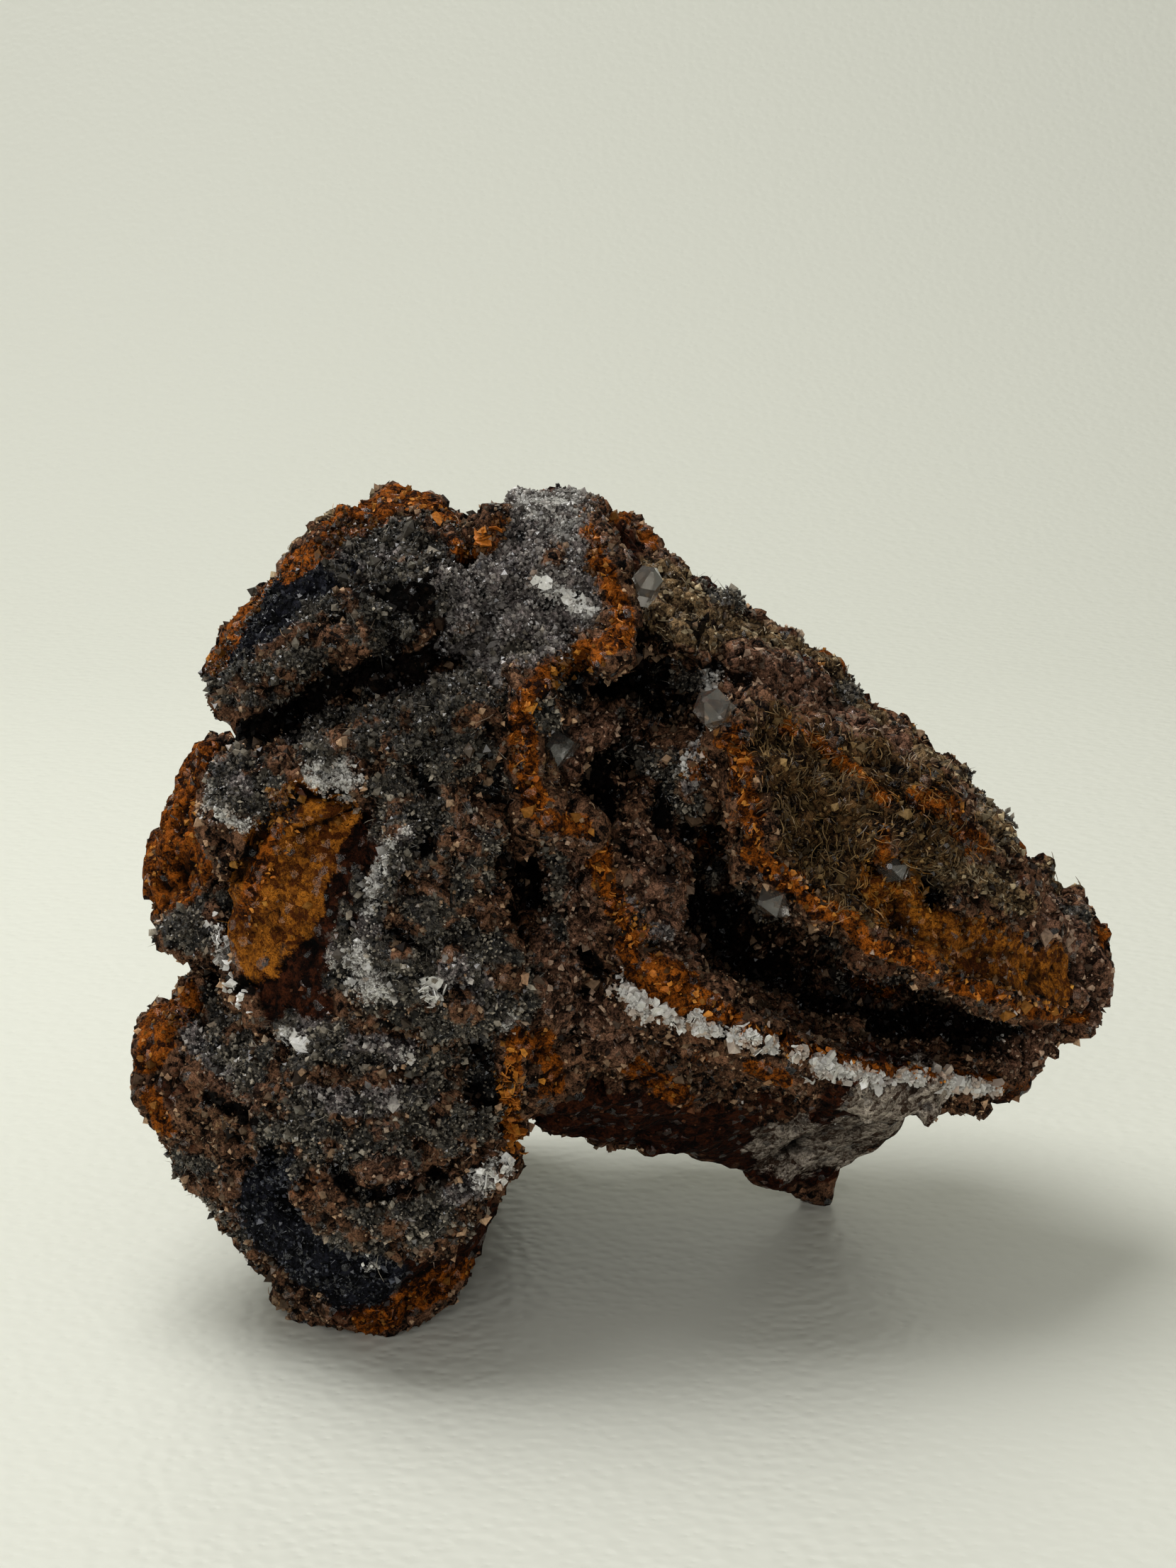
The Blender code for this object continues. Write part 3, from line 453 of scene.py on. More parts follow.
def wavy(points, size, seed=0):
    """Gradient noise from -1 to 1: slopes at the corners of cells `size` wide, blended by a smooth step."""
    place = points / size + 17.3 * seed + 0.5
    cell = np.floor(place).astype(np.int64)
    inside = place - cell
    ease = inside ** 3 * (inside * (inside * 6 - 15) + 10)
    total = np.zeros(len(points))
    for corner in CORNERS:
        offset = np.array(corner)
        slope = SLOPES[shuffled(cell + offset)]
        share = np.prod(np.where(offset, ease, 1 - ease), axis=1)
        total += share * np.einsum("ij,ij->i", slope, inside - offset)
    return np.clip(total * 1.7, -1, 1)


def rough(points, size, octaves, seed=0):
    """Waves of `size`, then of half the size at half the height, and so on, added up."""
    return sum(wavy(points, size / 2 ** k, seed + k) / 2 ** k for k in range(octaves))


def wander(points, size, reach, seed):
    """The points moved by up to `reach` along each axis by waves of `size`."""
    return points + reach * np.stack([wavy(points, size, seed + axis) for axis in range(3)], axis=1)


def grains(points, size, seed=0):
    """Cells around scattered spots: distance to the nearest spot, to the next, and the cell's own mark."""
    place = points / size + 9.7 * seed
    cell = np.floor(place).astype(np.int64)
    nearest = np.full(len(points), 9.0)
    following = np.full(len(points), 9.0)
    mark = np.zeros(len(points))
    for step in AROUND:
        other = cell + np.array(step)
        key = shuffled(other)
        gap = np.linalg.norm(other + SPOTS[key] - place, axis=1)
        closer = gap < nearest
        following = np.where(closer, nearest, np.minimum(following, gap))
        mark = np.where(closer, MARKS[key], mark)
        nearest = np.where(closer, gap, nearest)
    return nearest, following, mark


def smooth_step(value, low, high):
    """0 below low, 1 above high, and an S curve between them."""
    share = np.clip((value - low) / (high - low), 0, 1)
    return share * share * (3 - 2 * share)


# Meshes

def read_array(items, key, width=3, kind=float):
    """One value of each of a mesh's items, `width` numbers to a row."""
    values = np.empty(len(items) * width, dtype=kind)
    items.foreach_get(key, values)
    return values.reshape(-1, width)


def read_points(mesh):
    """A mesh's vertices in millimetres."""
    return read_array(mesh.vertices, "co") / MM


def read_normals(mesh):
    """A mesh's vertex normals."""
    return read_array(mesh.vertex_normals, "vector")


def write_points(mesh, points):
    """Moves a mesh's vertices to the points, given in millimetres."""
    mesh.vertices.foreach_set("co", (points * MM).ravel())
    mesh.update()


def triangle_mesh(name, points, triangles):
    """A mesh of points in millimetres and triangles of point numbers, with flat faces."""
    mesh = bpy.data.meshes.new(name)
    mesh.vertices.add(len(points))
    mesh.vertices.foreach_set("co", (points * MM).ravel())
    mesh.loops.add(triangles.size)
    mesh.loops.foreach_set("vertex_index", triangles.ravel())
    mesh.polygons.add(len(triangles))
    mesh.polygons.foreach_set("loop_start", np.arange(0, triangles.size, 3))
    mesh.update()
    mesh.validate()
    mesh.shade_flat()
    return mesh


def place_piece(name, mesh, material, nodes=()):
    """Puts a mesh in the scene as a piece of the specimen, in place of the CAD nodes it stands for."""
    piece = bpy.data.objects.new(name, mesh)
    bpy.context.scene.collection.objects.link(piece)
    mesh.materials.append(material)
    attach(piece, "root")
    if nodes:
        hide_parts(*nodes)
    return piece


def keep_in_box(points):
    """The points held inside the CAD model's box."""
    low, high = MADE["box"]
    return np.clip(points, low, high)


def with_modifier(mesh, kind, settings, group=None):
    """A new mesh: this one after one modifier. `group` gives the vertices of weight 1, the rest get 0.3."""
    holder = bpy.data.objects.new("holder", mesh)
    bpy.context.scene.collection.objects.link(holder)
    modifier = holder.modifiers.new(kind, kind)
    if group is not None:
        weights = holder.vertex_groups.new(name="loose")
        weights.add(np.flatnonzero(group).tolist(), 1.0, "REPLACE")
        weights.add(np.flatnonzero(~group).tolist(), 0.3, "REPLACE")
        modifier.vertex_group = "loose"
    for key, value in settings.items():
        setattr(modifier, key, value)
    shaped = holder.evaluated_get(bpy.context.evaluated_depsgraph_get())
    result = bpy.data.meshes.new_from_object(shaped)
    bpy.data.objects.remove(holder)
    return result


# Strokes

def picture_points(path):
    """Noted places as points across and up from the aim, to a tenth of a millimetre."""
    return [(round((x - SHOWN_MIDDLE[0]) * SHOWN_STEP, 1), round((SHOWN_MIDDLE[1] - y) * SHOWN_STEP, 1))
            for x, y in path]


def see(tree, across, up):
    """Where the eye meets the rock through a point across and up from its aim, and the normal there."""
    direction = CAMERA_AIM + across * ACROSS + up * UPWARD - CAMERA_EYE
    direction /= np.linalg.norm(direction)
    return tree.ray_cast(Vector(CAMERA_EYE), Vector(direction))[:2]


def picture_place(points):
    """Where the camera sees the points: across and up from its aim, and how far behind the aim."""
    offset = points - CAMERA_EYE
    depth = offset @ LOOKING
    scale = CAMERA_DISTANCE / depth
    return np.stack((offset @ ACROSS * scale, offset @ UPWARD * scale, depth - CAMERA_DISTANCE), axis=1)


def lay_strokes(tree):
    """Each stroke as spots in picture places, a step apart, where the eye meets the rock on its path."""
    laid = []
    for mineral, strokes in STROKES.items():
        for _, radius, rise, path in strokes:
            spots = []
            points = picture_points(path)
            for (x0, z0), (x1, z1) in zip(points, points[1:]):
                steps = max(2, math.ceil(math.hypot(x1 - x0, z1 - z0) / STROKE_STEP) + 1)
                for share in np.linspace(0, 1, steps):
                    spots.append(see(tree, x0 + share * (x1 - x0), z0 + share * (z1 - z0))[0])
            spots = [spot for spot in spots if spot is not None]
            if spots:
                laid.append((mineral, radius, rise, picture_place(np.array(spots))))
    return laid


def paint(points):
    """Each mineral's weight and the rise at every point.

    A stroke's weight is 1 within about half its radius and falls to 0 at 1.4 radii, by the gap
    that the camera sees, plus the gap in depth beyond STROKE_DEPTH. Noise moves the points and
    widens or thins the strokes, so that the borders wander.
    """
    seen = picture_place(points)
    width = 1 + 0.3 * wavy(points, 1.9, 33) + 0.3 * wavy(points, 0.8, 34)
    shift = picture_place(wander(points, 1.7, 0.5, 31)) - seen
    weights = {mineral: np.zeros(len(points)) for mineral in MINERALS}
    rise = np.zeros(len(points))
    for mineral, radius, height, spots in MADE["strokes"]:
        moved = seen + shift * min(1.0, radius / 1.4)
        reach = 1.9 * radius + np.array((0, 0, STROKE_DEPTH))
        near = np.flatnonzero(np.all((moved > spots.min(0) - reach) & (moved < spots.max(0) + reach), axis=1))
        gaps = np.full(len(near), 99.0)
        for spot in spots:
            offset = np.abs(moved[near] - spot)
            beyond = np.maximum(offset[:, 2] - STROKE_DEPTH, 0)
            gaps = np.minimum(gaps, offset[:, 0] ** 2 + offset[:, 1] ** 2 + beyond ** 2)
        share = smooth_step(1.4 - np.sqrt(gaps) / (radius * width[near]), 0, 0.8)
        weights[mineral][near] = np.maximum(weights[mineral][near], share)
        rise[near] = np.where(np.abs(height * share) > np.abs(rise[near]), height * share, rise[near])
    return weights, rise


def calmness(points):
    """1 in the calm places, falling to 0 at their reach."""
    calm = np.zeros(len(points))
    for middle, reach in CALM_PLACES:
        gap = np.linalg.norm(points - np.array(middle), axis=1)
        calm = np.maximum(calm, smooth_step(reach - gap, 0, 2.5))
    return calm


def hidden_sides(points, weights):
    """Adds patches by slow waves where no stroke reaches, and breaks the grey and the white by noise."""
    bare = (1 - np.max([weights[mineral] for mineral in weights], axis=0)) * (1 - calmness(points))
    back = smooth_step(points[:, 1], -6, 4)
    for mineral, size, low, high, front, seed in (
        ("rust", 8, 0.25, 0.5, 0.35, 51), ("grey", 9, 0.22, 0.45, 0.0, 61),
        ("tan", 7, 0.2, 0.5, 0.4, 71), ("umber", 6, 0.1, 0.4, 0.5, 81),
    ):
        patch = smooth_step(rough(points, size, 3, seed), low, high)
        weights[mineral] = np.maximum(weights[mineral], bare * patch * (front + (1 - front) * back))
    weights["grey"] = weights["grey"] * (0.25 + 0.75 * smooth_step(rough(points, 2.4, 3, 91), -0.35, 0.15))
    weights["white"] = weights["white"] * (0.2 + 0.8 * smooth_step(rough(points, 1.2, 2, 97), -0.45, 0.0))
    return weights


# Small things

def sow(count, chance, seed):
    """Roots spread evenly over the skin's triangles, each in proportion to its area times `chance`."""
    skin = MADE["skin"]
    draw = np.random.default_rng(seed)
    triangles = skin["triangles"]
    weight = np.cumsum(skin["areas"] * chance[triangles].mean(axis=1))
    picks = np.searchsorted(weight, (np.arange(count) + draw.random(count)) / count * weight[-1])
    picks = np.minimum(picks, len(triangles) - 1)
    first, second = draw.random((2, count))
    over = first + second > 1
    first[over], second[over] = 1 - first[over], 1 - second[over]
    shares = np.stack((1 - first - second, first, second), axis=1)
    corners = triangles[picks]
    points = np.einsum("ij,ijk->ik", shares, skin["points"][corners])
    normals = skin["normals"][corners].mean(axis=1)
    normals /= np.linalg.norm(normals, axis=1)[:, None]
    return points, normals, corners[:, 0], draw


def near_node(node, reach=2.5):
    """True where the skin lies within `reach` of a CAD node's box."""
    low, high = (np.array(corner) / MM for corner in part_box(node))
    points = MADE["skin"]["points"]
    return np.all((points > low - reach) & (points < high + reach), axis=1)


def leaning(normals, lean, draw):
    """The normals tipped at random, more for a larger lean."""
    axes = normals + lean * draw.normal(size=normals.shape)
    return axes / np.linalg.norm(axes, axis=1)[:, None]


def side_axes(axes, turns):
    """Two axes across each given axis, turned round it by an angle."""
    helper = np.where(np.abs(axes[:, 2:]) < 0.8, (0, 0, 1), (1, 0, 0))
    across = np.cross(axes, helper)
    across /= np.linalg.norm(across, axis=1)[:, None]
    other = np.cross(axes, across)
    cosine, sine = np.cos(turns)[:, None], np.sin(turns)[:, None]
    return across * cosine + other * sine, other * cosine - across * sine


def ring_solid(sides, rings):
    """Corners and triangles of rings stacked up an axis: (height, radius) each, with a point at both ends."""
    angles = np.arange(sides) * 2 * math.pi / sides
    corners = [(0, 0, rings[0][0])]
    for height, radius in rings[1:-1]:
        corners += [(radius * math.cos(a), radius * math.sin(a), height) for a in angles]
    corners.append((0, 0, rings[-1][0]))
    last = len(corners) - 1
    triangles = []
    for k in range(sides):
        following = (k + 1) % sides
        triangles.append((0, 1 + following, 1 + k))
        for level in range(len(rings) - 3):
            low, high = 1 + level * sides, 1 + (level + 1) * sides
            triangles.append((low + k, low + following, high + following))
            triangles.append((low + k, high + following, high + k))
        top = 1 + (len(rings) - 3) * sides
        triangles.append((top + k, top + following, last))
    return np.array(corners), np.array(triangles)


def crystal(sides, shoulder):
    """A prism with a pointed head: `shoulder` is the height where the head starts."""
    return ring_solid(sides, [(-0.35, 0), (-0.3, 1), (shoulder, 0.9), (1, 0)])


GRAIN = ring_solid(4, [(-0.8, 0), (-0.1, 1), (0.9, 0)])
NEEDLE = ring_solid(3, [(-0.25, 0), (-0.05, 1), (1, 0)])
SPEAR = ring_solid(4, [(-0.4, 0), (0.5, 1), (1, 0)])


def grow(shape, roots, axes, widths, lengths, draw):
    """Copies of a shape: root + width * a corner's sideways place + length * its height.

    Each copy is turned at random round its axis and stretched by up to a fifth each way across it.
    """
    corners, triangles = shape
    count = len(roots)
    one, two = side_axes(axes, draw.uniform(0, 2 * math.pi, count))
    stretch = draw.uniform(0.8, 1.2, (count, 2))
    sideways = (
        corners[None, :, 0, None] * one[:, None] * (widths * stretch[:, 0])[:, None, None]
        + corners[None, :, 1, None] * two[:, None] * (widths * stretch[:, 1])[:, None, None]
    )
    along = corners[None, :, 2, None] * axes[:, None] * lengths[:, None, None]
    points = roots[:, None] + sideways + along
    numbers = triangles[None] + (np.arange(count) * len(corners))[:, None, None]
    return points.reshape(-1, 3), numbers.reshape(-1, 3)


def plates(roots, axes, sizes, draw, corners=7):
    """Thin broken plates: a ragged outline round each root and across its axis, bent a little.

    A corner's reach is 0.45 to 1 of the plate's size, and the plate is a tenth as thick as that.
    """
    count = len(roots)
    one, two = side_axes(axes, draw.uniform(0, 2 * math.pi, count))
    angles = (np.arange(corners) + draw.uniform(-0.35, 0.35, (count, corners))) * 2 * math.pi / corners
    reach = sizes[:, None] * draw.uniform(0.45, 1.0, (count, corners))
    first, second = reach * np.cos(angles), 0.7 * reach * np.sin(angles)
    first = np.concatenate((first, np.zeros((count, 1))), axis=1)
    second = np.concatenate((second, np.zeros((count, 1))), axis=1)
    lift = 0.35 * (first ** 2 - second * first) / sizes[:, None]
    middle = roots[:, None] + first[:, :, None] * one[:, None] + second[:, :, None] * two[:, None]
    middle = middle + lift[:, :, None] * axes[:, None]
    half = 0.05 * sizes[:, None, None] * axes[:, None]
    points = np.concatenate((middle + half, middle - half), axis=1)
    triangles = []
    for k in range(corners):
        following, low = (k + 1) % corners, corners + 1
        triangles += [(corners, k, following), (corners + low, following + low, k + low)]
        triangles += [(k, k + low, following + low), (k, following + low, following)]
    numbers = np.array(triangles)[None] + (np.arange(count) * 2 * (corners + 1))[:, None, None]
    return points.reshape(-1, 3), numbers.reshape(-1, 3)


def strands(roots, heads, normals, lengths, widths, arch, curl, draw, stops=5):
    """Thin tubes that leave the rock at a root, arch over it and come back to it.

    A point at share s of the way is root + heading * length * s + normal * arch * length * sin(pi s),
    plus waves of `curl` times the length. Each tube has three sides and closed ends.
    """
    count = len(roots)
    share = np.linspace(0, 1, stops)[None, :, None]
    side = np.cross(heads, normals)
    wave = draw.uniform(0, 6, (count, 1, 1)) + draw.uniform(2, 6, (count, 1, 1)) * share
    path = (
        roots[:, None] + heads[:, None] * (lengths[:, None, None] * share)
        + normals[:, None] * (arch * lengths)[:, None, None] * np.sin(math.pi * share)
        + side[:, None] * (curl * lengths)[:, None, None] * np.sin(wave)
    )
    ahead = np.gradient(path, axis=1)
    ahead /= np.linalg.norm(ahead, axis=2)[:, :, None]
    one = np.cross(ahead, normals[:, None] + 0.01)
    one /= np.linalg.norm(one, axis=2)[:, :, None]
    two = np.cross(ahead, one)
    thin = np.sin(math.pi * np.linspace(0.08, 0.92, stops)) ** 0.5
    angles = np.arange(3) * 2 * math.pi / 3
    ring = np.cos(angles)[:, None] * one[:, :, None] + np.sin(angles)[:, None] * two[:, :, None]
    points = path[:, :, None] + ring * (widths[:, None] / 2 * thin)[:, :, None, None]
    numbers = []
    for stop in range(stops - 1):
        for k in range(3):
            a, b = stop * 3 + k, stop * 3 + (k + 1) % 3
            numbers += [(a, b, b + 3), (a, b + 3, a + 3)]
    end = (stops - 1) * 3
    numbers += [(0, 2, 1), (end, end + 1, end + 2)]
    numbers = np.array(numbers)[None] + (np.arange(count) * stops * 3)[:, None, None]
    return points.reshape(-1, 3), numbers.reshape(-1, 3)


def tints(corners, shade, dim=1.0, towards=None, share=0.0):
    """Each small thing's colour: the mix of minerals at its root, from dark to bright by its shade."""
    skin = MADE["skin"]
    shade = shade[:, None]
    colour = np.array(linear(ROCK_DARK)) * (1 - shade) + np.array(linear(ROCK_BRIGHT)) * shade
    # Roots in the dark strokes pass its painted shade on to the small things, and roots on the wedge pass on
    # its painted sheen
    for mineral, (dark, _, bright) in MINERALS.items():
        own = np.array(linear(dark)) * (1 - shade) + np.array(linear(bright)) * shade
        weight = smooth_step(skin[mineral][corners], 0.3, 0.75)[:, None]
        colour = colour * (1 - weight) + own * weight
    if towards is not None:
        colour = colour * (1 - share) + np.array(linear(towards)) * share
    return colour * dim


def join_parts(parts):
    """One set of points, triangles and colours from several."""
    offset = 0
    points, triangles, colours = [], [], []
    for some_points, some_triangles, some_colours in parts:
        points.append(some_points)
        triangles.append(some_triangles + offset)
        colours.append(np.repeat(some_colours, len(some_points) // len(some_colours), axis=0))
        offset += len(some_points)
    return np.concatenate(points), np.concatenate(triangles), np.concatenate(colours)


def small_piece(name, parts, material, nodes=()):
    """A piece made of many small things, whose corners carry their colour for the material to read."""
    points, triangles, colours = join_parts(parts)
    mesh = triangle_mesh(name, keep_in_box(points), triangles)
    layer = mesh.attributes.new("tint", "FLOAT_COLOR", "POINT")
    layer.data.foreach_set("color", np.column_stack((colours, np.ones(len(colours)))).ravel())
    return place_piece(name, mesh, material, nodes)


# Materials

def add(tree, kind, settings=None, links=None):
    """Adds a node, sets its properties or input values, and links other nodes' outputs to its inputs."""
    node = tree.nodes.new("ShaderNode" + kind)
    for key, value in (settings or {}).items():
        if isinstance(key, str) and hasattr(node, key):
            setattr(node, key, value)
        else:
            node.inputs[key].default_value = value
    for key, output in (links or {}).items():
        tree.links.new(output, node.inputs[key])
    return node


def new_material(name):
    """An empty node material, with its tree and its output node."""
    material = bpy.data.materials.new(name)
    material.use_nodes = True
    tree = material.node_tree
    tree.nodes.clear()
    return material, tree, add(tree, "OutputMaterial")


def weathered_gossan():
    """Weathered gossan: porous limonite and goethite, broken and dusty, with glinting facets in its druse."""
    material, tree, output = new_material("weathered_gossan")
    place = add(tree, "TexCoord").outputs["Object"]
    blotch = add(tree, "TexNoise", {"Scale": 1 / (BLOTCH_SIZE * MM), "Detail": 4.0, "Roughness": 0.65},
                 {"Vector": place})
    grain = add(tree, "TexVoronoi", {"Scale": 1 / (GRAIN_SIZE * MM)}, {"Vector": place})
    grit = add(tree, "TexNoise", {"Scale": 1 / (GRIT_SIZE * MM), "Detail": 2.0, "Roughness": 0.75},
               {"Vector": place})
    facet = add(tree, "TexVoronoi", {"Scale": 1 / (FACET_SIZE * MM)}, {"Vector": place})
    cell = add(tree, "SeparateColor", {}, {"Color": grain.outputs["Color"]})
    shade = add(tree, "Math", {"operation": "MULTIPLY_ADD", 1: 0.5, 2: -0.05}, {0: cell.outputs["Red"]})
    shade = add(tree, "Math", {"operation": "MULTIPLY_ADD", 1: 1.3},
                {0: grit.outputs["Fac"], 2: shade.outputs[0]})
    shade = add(tree, "Math", {"operation": "MULTIPLY_ADD", 1: 0.9},
                {0: blotch.outputs["Fac"], 2: shade.outputs[0]})
    light = add(tree, "MapRange", {"From Min": 1.02, "From Max": 1.66}, {"Value": shade.outputs[0]})
    light = add(tree, "Math", {"operation": "POWER", 1: 1.35}, {0: light.outputs[0]}).outputs[0]
    edge = add(tree, "Math", {"operation": "ADD"}, {0: blotch.outputs["Fac"], 1: grit.outputs["Fac"]})
    edge = add(tree, "Math", {"operation": "MULTIPLY_ADD", 1: 0.8, 2: -0.85}, {0: edge.outputs[0]})
    colour = add(tree, "Mix", {"data_type": "RGBA", 6: (*linear(ROCK_DARK), 1), 7: (*linear(ROCK_LIGHT), 1)},
                 {0: light})
    shares = {}
    # The dark layer paints shade into the hollows, crevices and creases, and the silver layer paints the
    # wedge's silvery tone along with a painted sheen
    for mineral, (dark_code, light_code, _) in MINERALS.items():
        weight = add(tree, "Attribute", {"attribute_name": mineral})
        ragged = add(tree, "Math", {"operation": "ADD"}, {0: weight.outputs["Fac"], 1: edge.outputs[0]})
        share = add(tree, "MapRange", {"From Min": 0.36, "From Max": 0.6},
                    {"Value": ragged.outputs[0]}).outputs[0]
        own = add(tree, "Mix", {"data_type": "RGBA", 6: (*linear(dark_code), 1), 7: (*linear(light_code), 1)},
                  {0: light})
        colour = add(tree, "Mix", {"data_type": "RGBA"}, {0: share, 6: colour.outputs[2], 7: own.outputs[2]})
        shares[mineral] = share
    # The hollow weight darkens the colour in creases and crevices, down to 0.06 of it: painted shade
    hollow = add(tree, "Attribute", {"attribute_name": "hollow"})
    crease_shade = add(tree, "MapRange", {"To Min": 1.0, "To Max": 0.06}, {"Value": hollow.outputs["Fac"]})
    colour = add(tree, "VectorMath", {"operation": "SCALE"}, {0: colour.outputs[2], "Scale": crease_shade.outputs[0]})
    # Each facet of the druse and the quartz faces its own way and is glossier than the rock
    druse = add(tree, "Math", {"operation": "MAXIMUM"}, {0: shares["grey"], 1: shares["cloudy"]}).outputs[0]
    facing = add(tree, "VectorMath", {"operation": "SUBTRACT", 1: (0.5, 0.5, 0.5)},
                 {0: facet.outputs["Color"]})
    facing = add(tree, "VectorMath", {"operation": "SCALE"}, {0: facing.outputs[0], "Scale": druse})
    bump = add(tree, "Bump", {"Strength": 1.0, "Distance": 0.28 * MM}, {"Height": grit.outputs["Fac"]})
    bump = add(tree, "Bump", {"Strength": 1.0, "Distance": 0.36 * MM, "invert": True},
               {"Height": grain.outputs["Distance"], "Normal": bump.outputs[0]})
    facing = add(tree, "VectorMath", {"operation": "MULTIPLY_ADD", 1: (1.6, 1.6, 1.6)},
                 {0: facing.outputs[0], 2: bump.outputs[0]})
    facing = add(tree, "VectorMath", {"operation": "NORMALIZE"}, {0: facing.outputs[0]})
    # Porous rock hardly reflects, but one grain in ten is a glossy crystal
    glint = add(tree, "Math", {"operation": "LESS_THAN", 1: 0.1}, {0: cell.outputs["Green"]}).outputs[0]
    glossy = add(tree, "Math", {"operation": "MULTIPLY_ADD", 1: 0.5}, {0: druse, 2: glint})
    roughness = add(tree, "MapRange", {"To Min": 0.8, "To Max": 0.2}, {"Value": glossy.outputs[0]})
    reflection = add(tree, "MapRange", {"To Min": 0.06, "To Max": 0.8}, {"Value": glossy.outputs[0]})
    shader = add(tree, "BsdfPrincipled", {}, {
        "Base Color": colour.outputs[0], "Roughness": roughness.outputs[0],
        "Specular IOR Level": reflection.outputs[0], "Normal": facing.outputs[0]})
    tree.links.new(shader.outputs[0], output.inputs["Surface"])
    return material


def tinted(name, roughness, transmission, ior, speck=0.25, reflection=0.5):
    """A material for small things: their own colour, mottled by fine noise, and see-through by a share."""
    material, tree, output = new_material(name)
    place = add(tree, "TexCoord").outputs["Object"]
    tint = add(tree, "Attribute", {"attribute_name": "tint"})
    mottle = add(tree, "TexNoise", {"Scale": 1 / (MOTTLE_SIZE * MM), "Detail": 2.0}, {"Vector": place})
    light = add(tree, "MapRange", {
        "From Min": 0.3, "From Max": 0.7, "To Min": 1 - speck, "To Max": 1 + speck,
    }, {"Value": mottle.outputs["Fac"]})
    colour = add(tree, "VectorMath", {"operation": "SCALE"},
                 {0: tint.outputs["Color"], "Scale": light.outputs[0]})
    shader = add(tree, "BsdfPrincipled", {
        "Roughness": roughness, "Transmission Weight": transmission, "IOR": ior,
        "Specular IOR Level": reflection,
    }, {"Base Color": colour.outputs[0]})
    tree.links.new(shader.outputs[0], output.inputs["Surface"])
    return material


def clear_calcite():
    """Clear calcite: cleaved and glassy, with faint milky veils inside."""
    material, tree, output = new_material("clear_calcite")
    place = add(tree, "TexCoord").outputs["Object"]
    veil = add(tree, "TexNoise", {"Scale": 1 / (VEIL_SIZE * MM), "Detail": 3.0}, {"Vector": place})
    rough = add(tree, "MapRange", {"From Min": 0.4, "From Max": 0.75, "To Min": 0.03, "To Max": 0.3},
                {"Value": veil.outputs["Fac"]})
    bump = add(tree, "Bump", {"Strength": 0.2, "Distance": 0.05 * MM}, {"Height": veil.outputs["Fac"]})
    shader = add(tree, "BsdfPrincipled", {
        "Base Color": (*linear("#D2CCC2"), 1), "Transmission Weight": 0.93, "IOR": 1.55,
    }, {"Roughness": rough.outputs[0], "Normal": bump.outputs[0]})
    tree.links.new(shader.outputs[0], output.inputs["Surface"])
    return material


def grained_plastic(colour):
    """Pale moulded plastic with a fine leather grain: a soft broad sheen broken by rounded pebbles."""
    material, tree, output = new_material("grained_plastic")
    place = add(tree, "TexCoord").outputs["Object"]
    pebble = add(tree, "TexVoronoi", {"Scale": 1 / (PEBBLE_SIZE * MM), "feature": "SMOOTH_F1"},
                 {"Vector": place})
    bump = add(tree, "Bump", {"Strength": 0.7, "Distance": 0.15 * MM}, {"Height": pebble.outputs["Distance"]})
    shader = add(tree, "BsdfPrincipled", {"Base Color": (*colour, 1), "Roughness": 0.36},
                 {"Normal": bump.outputs[0]})
    tree.links.new(shader.outputs[0], output.inputs["Surface"])
    return material


# Operators

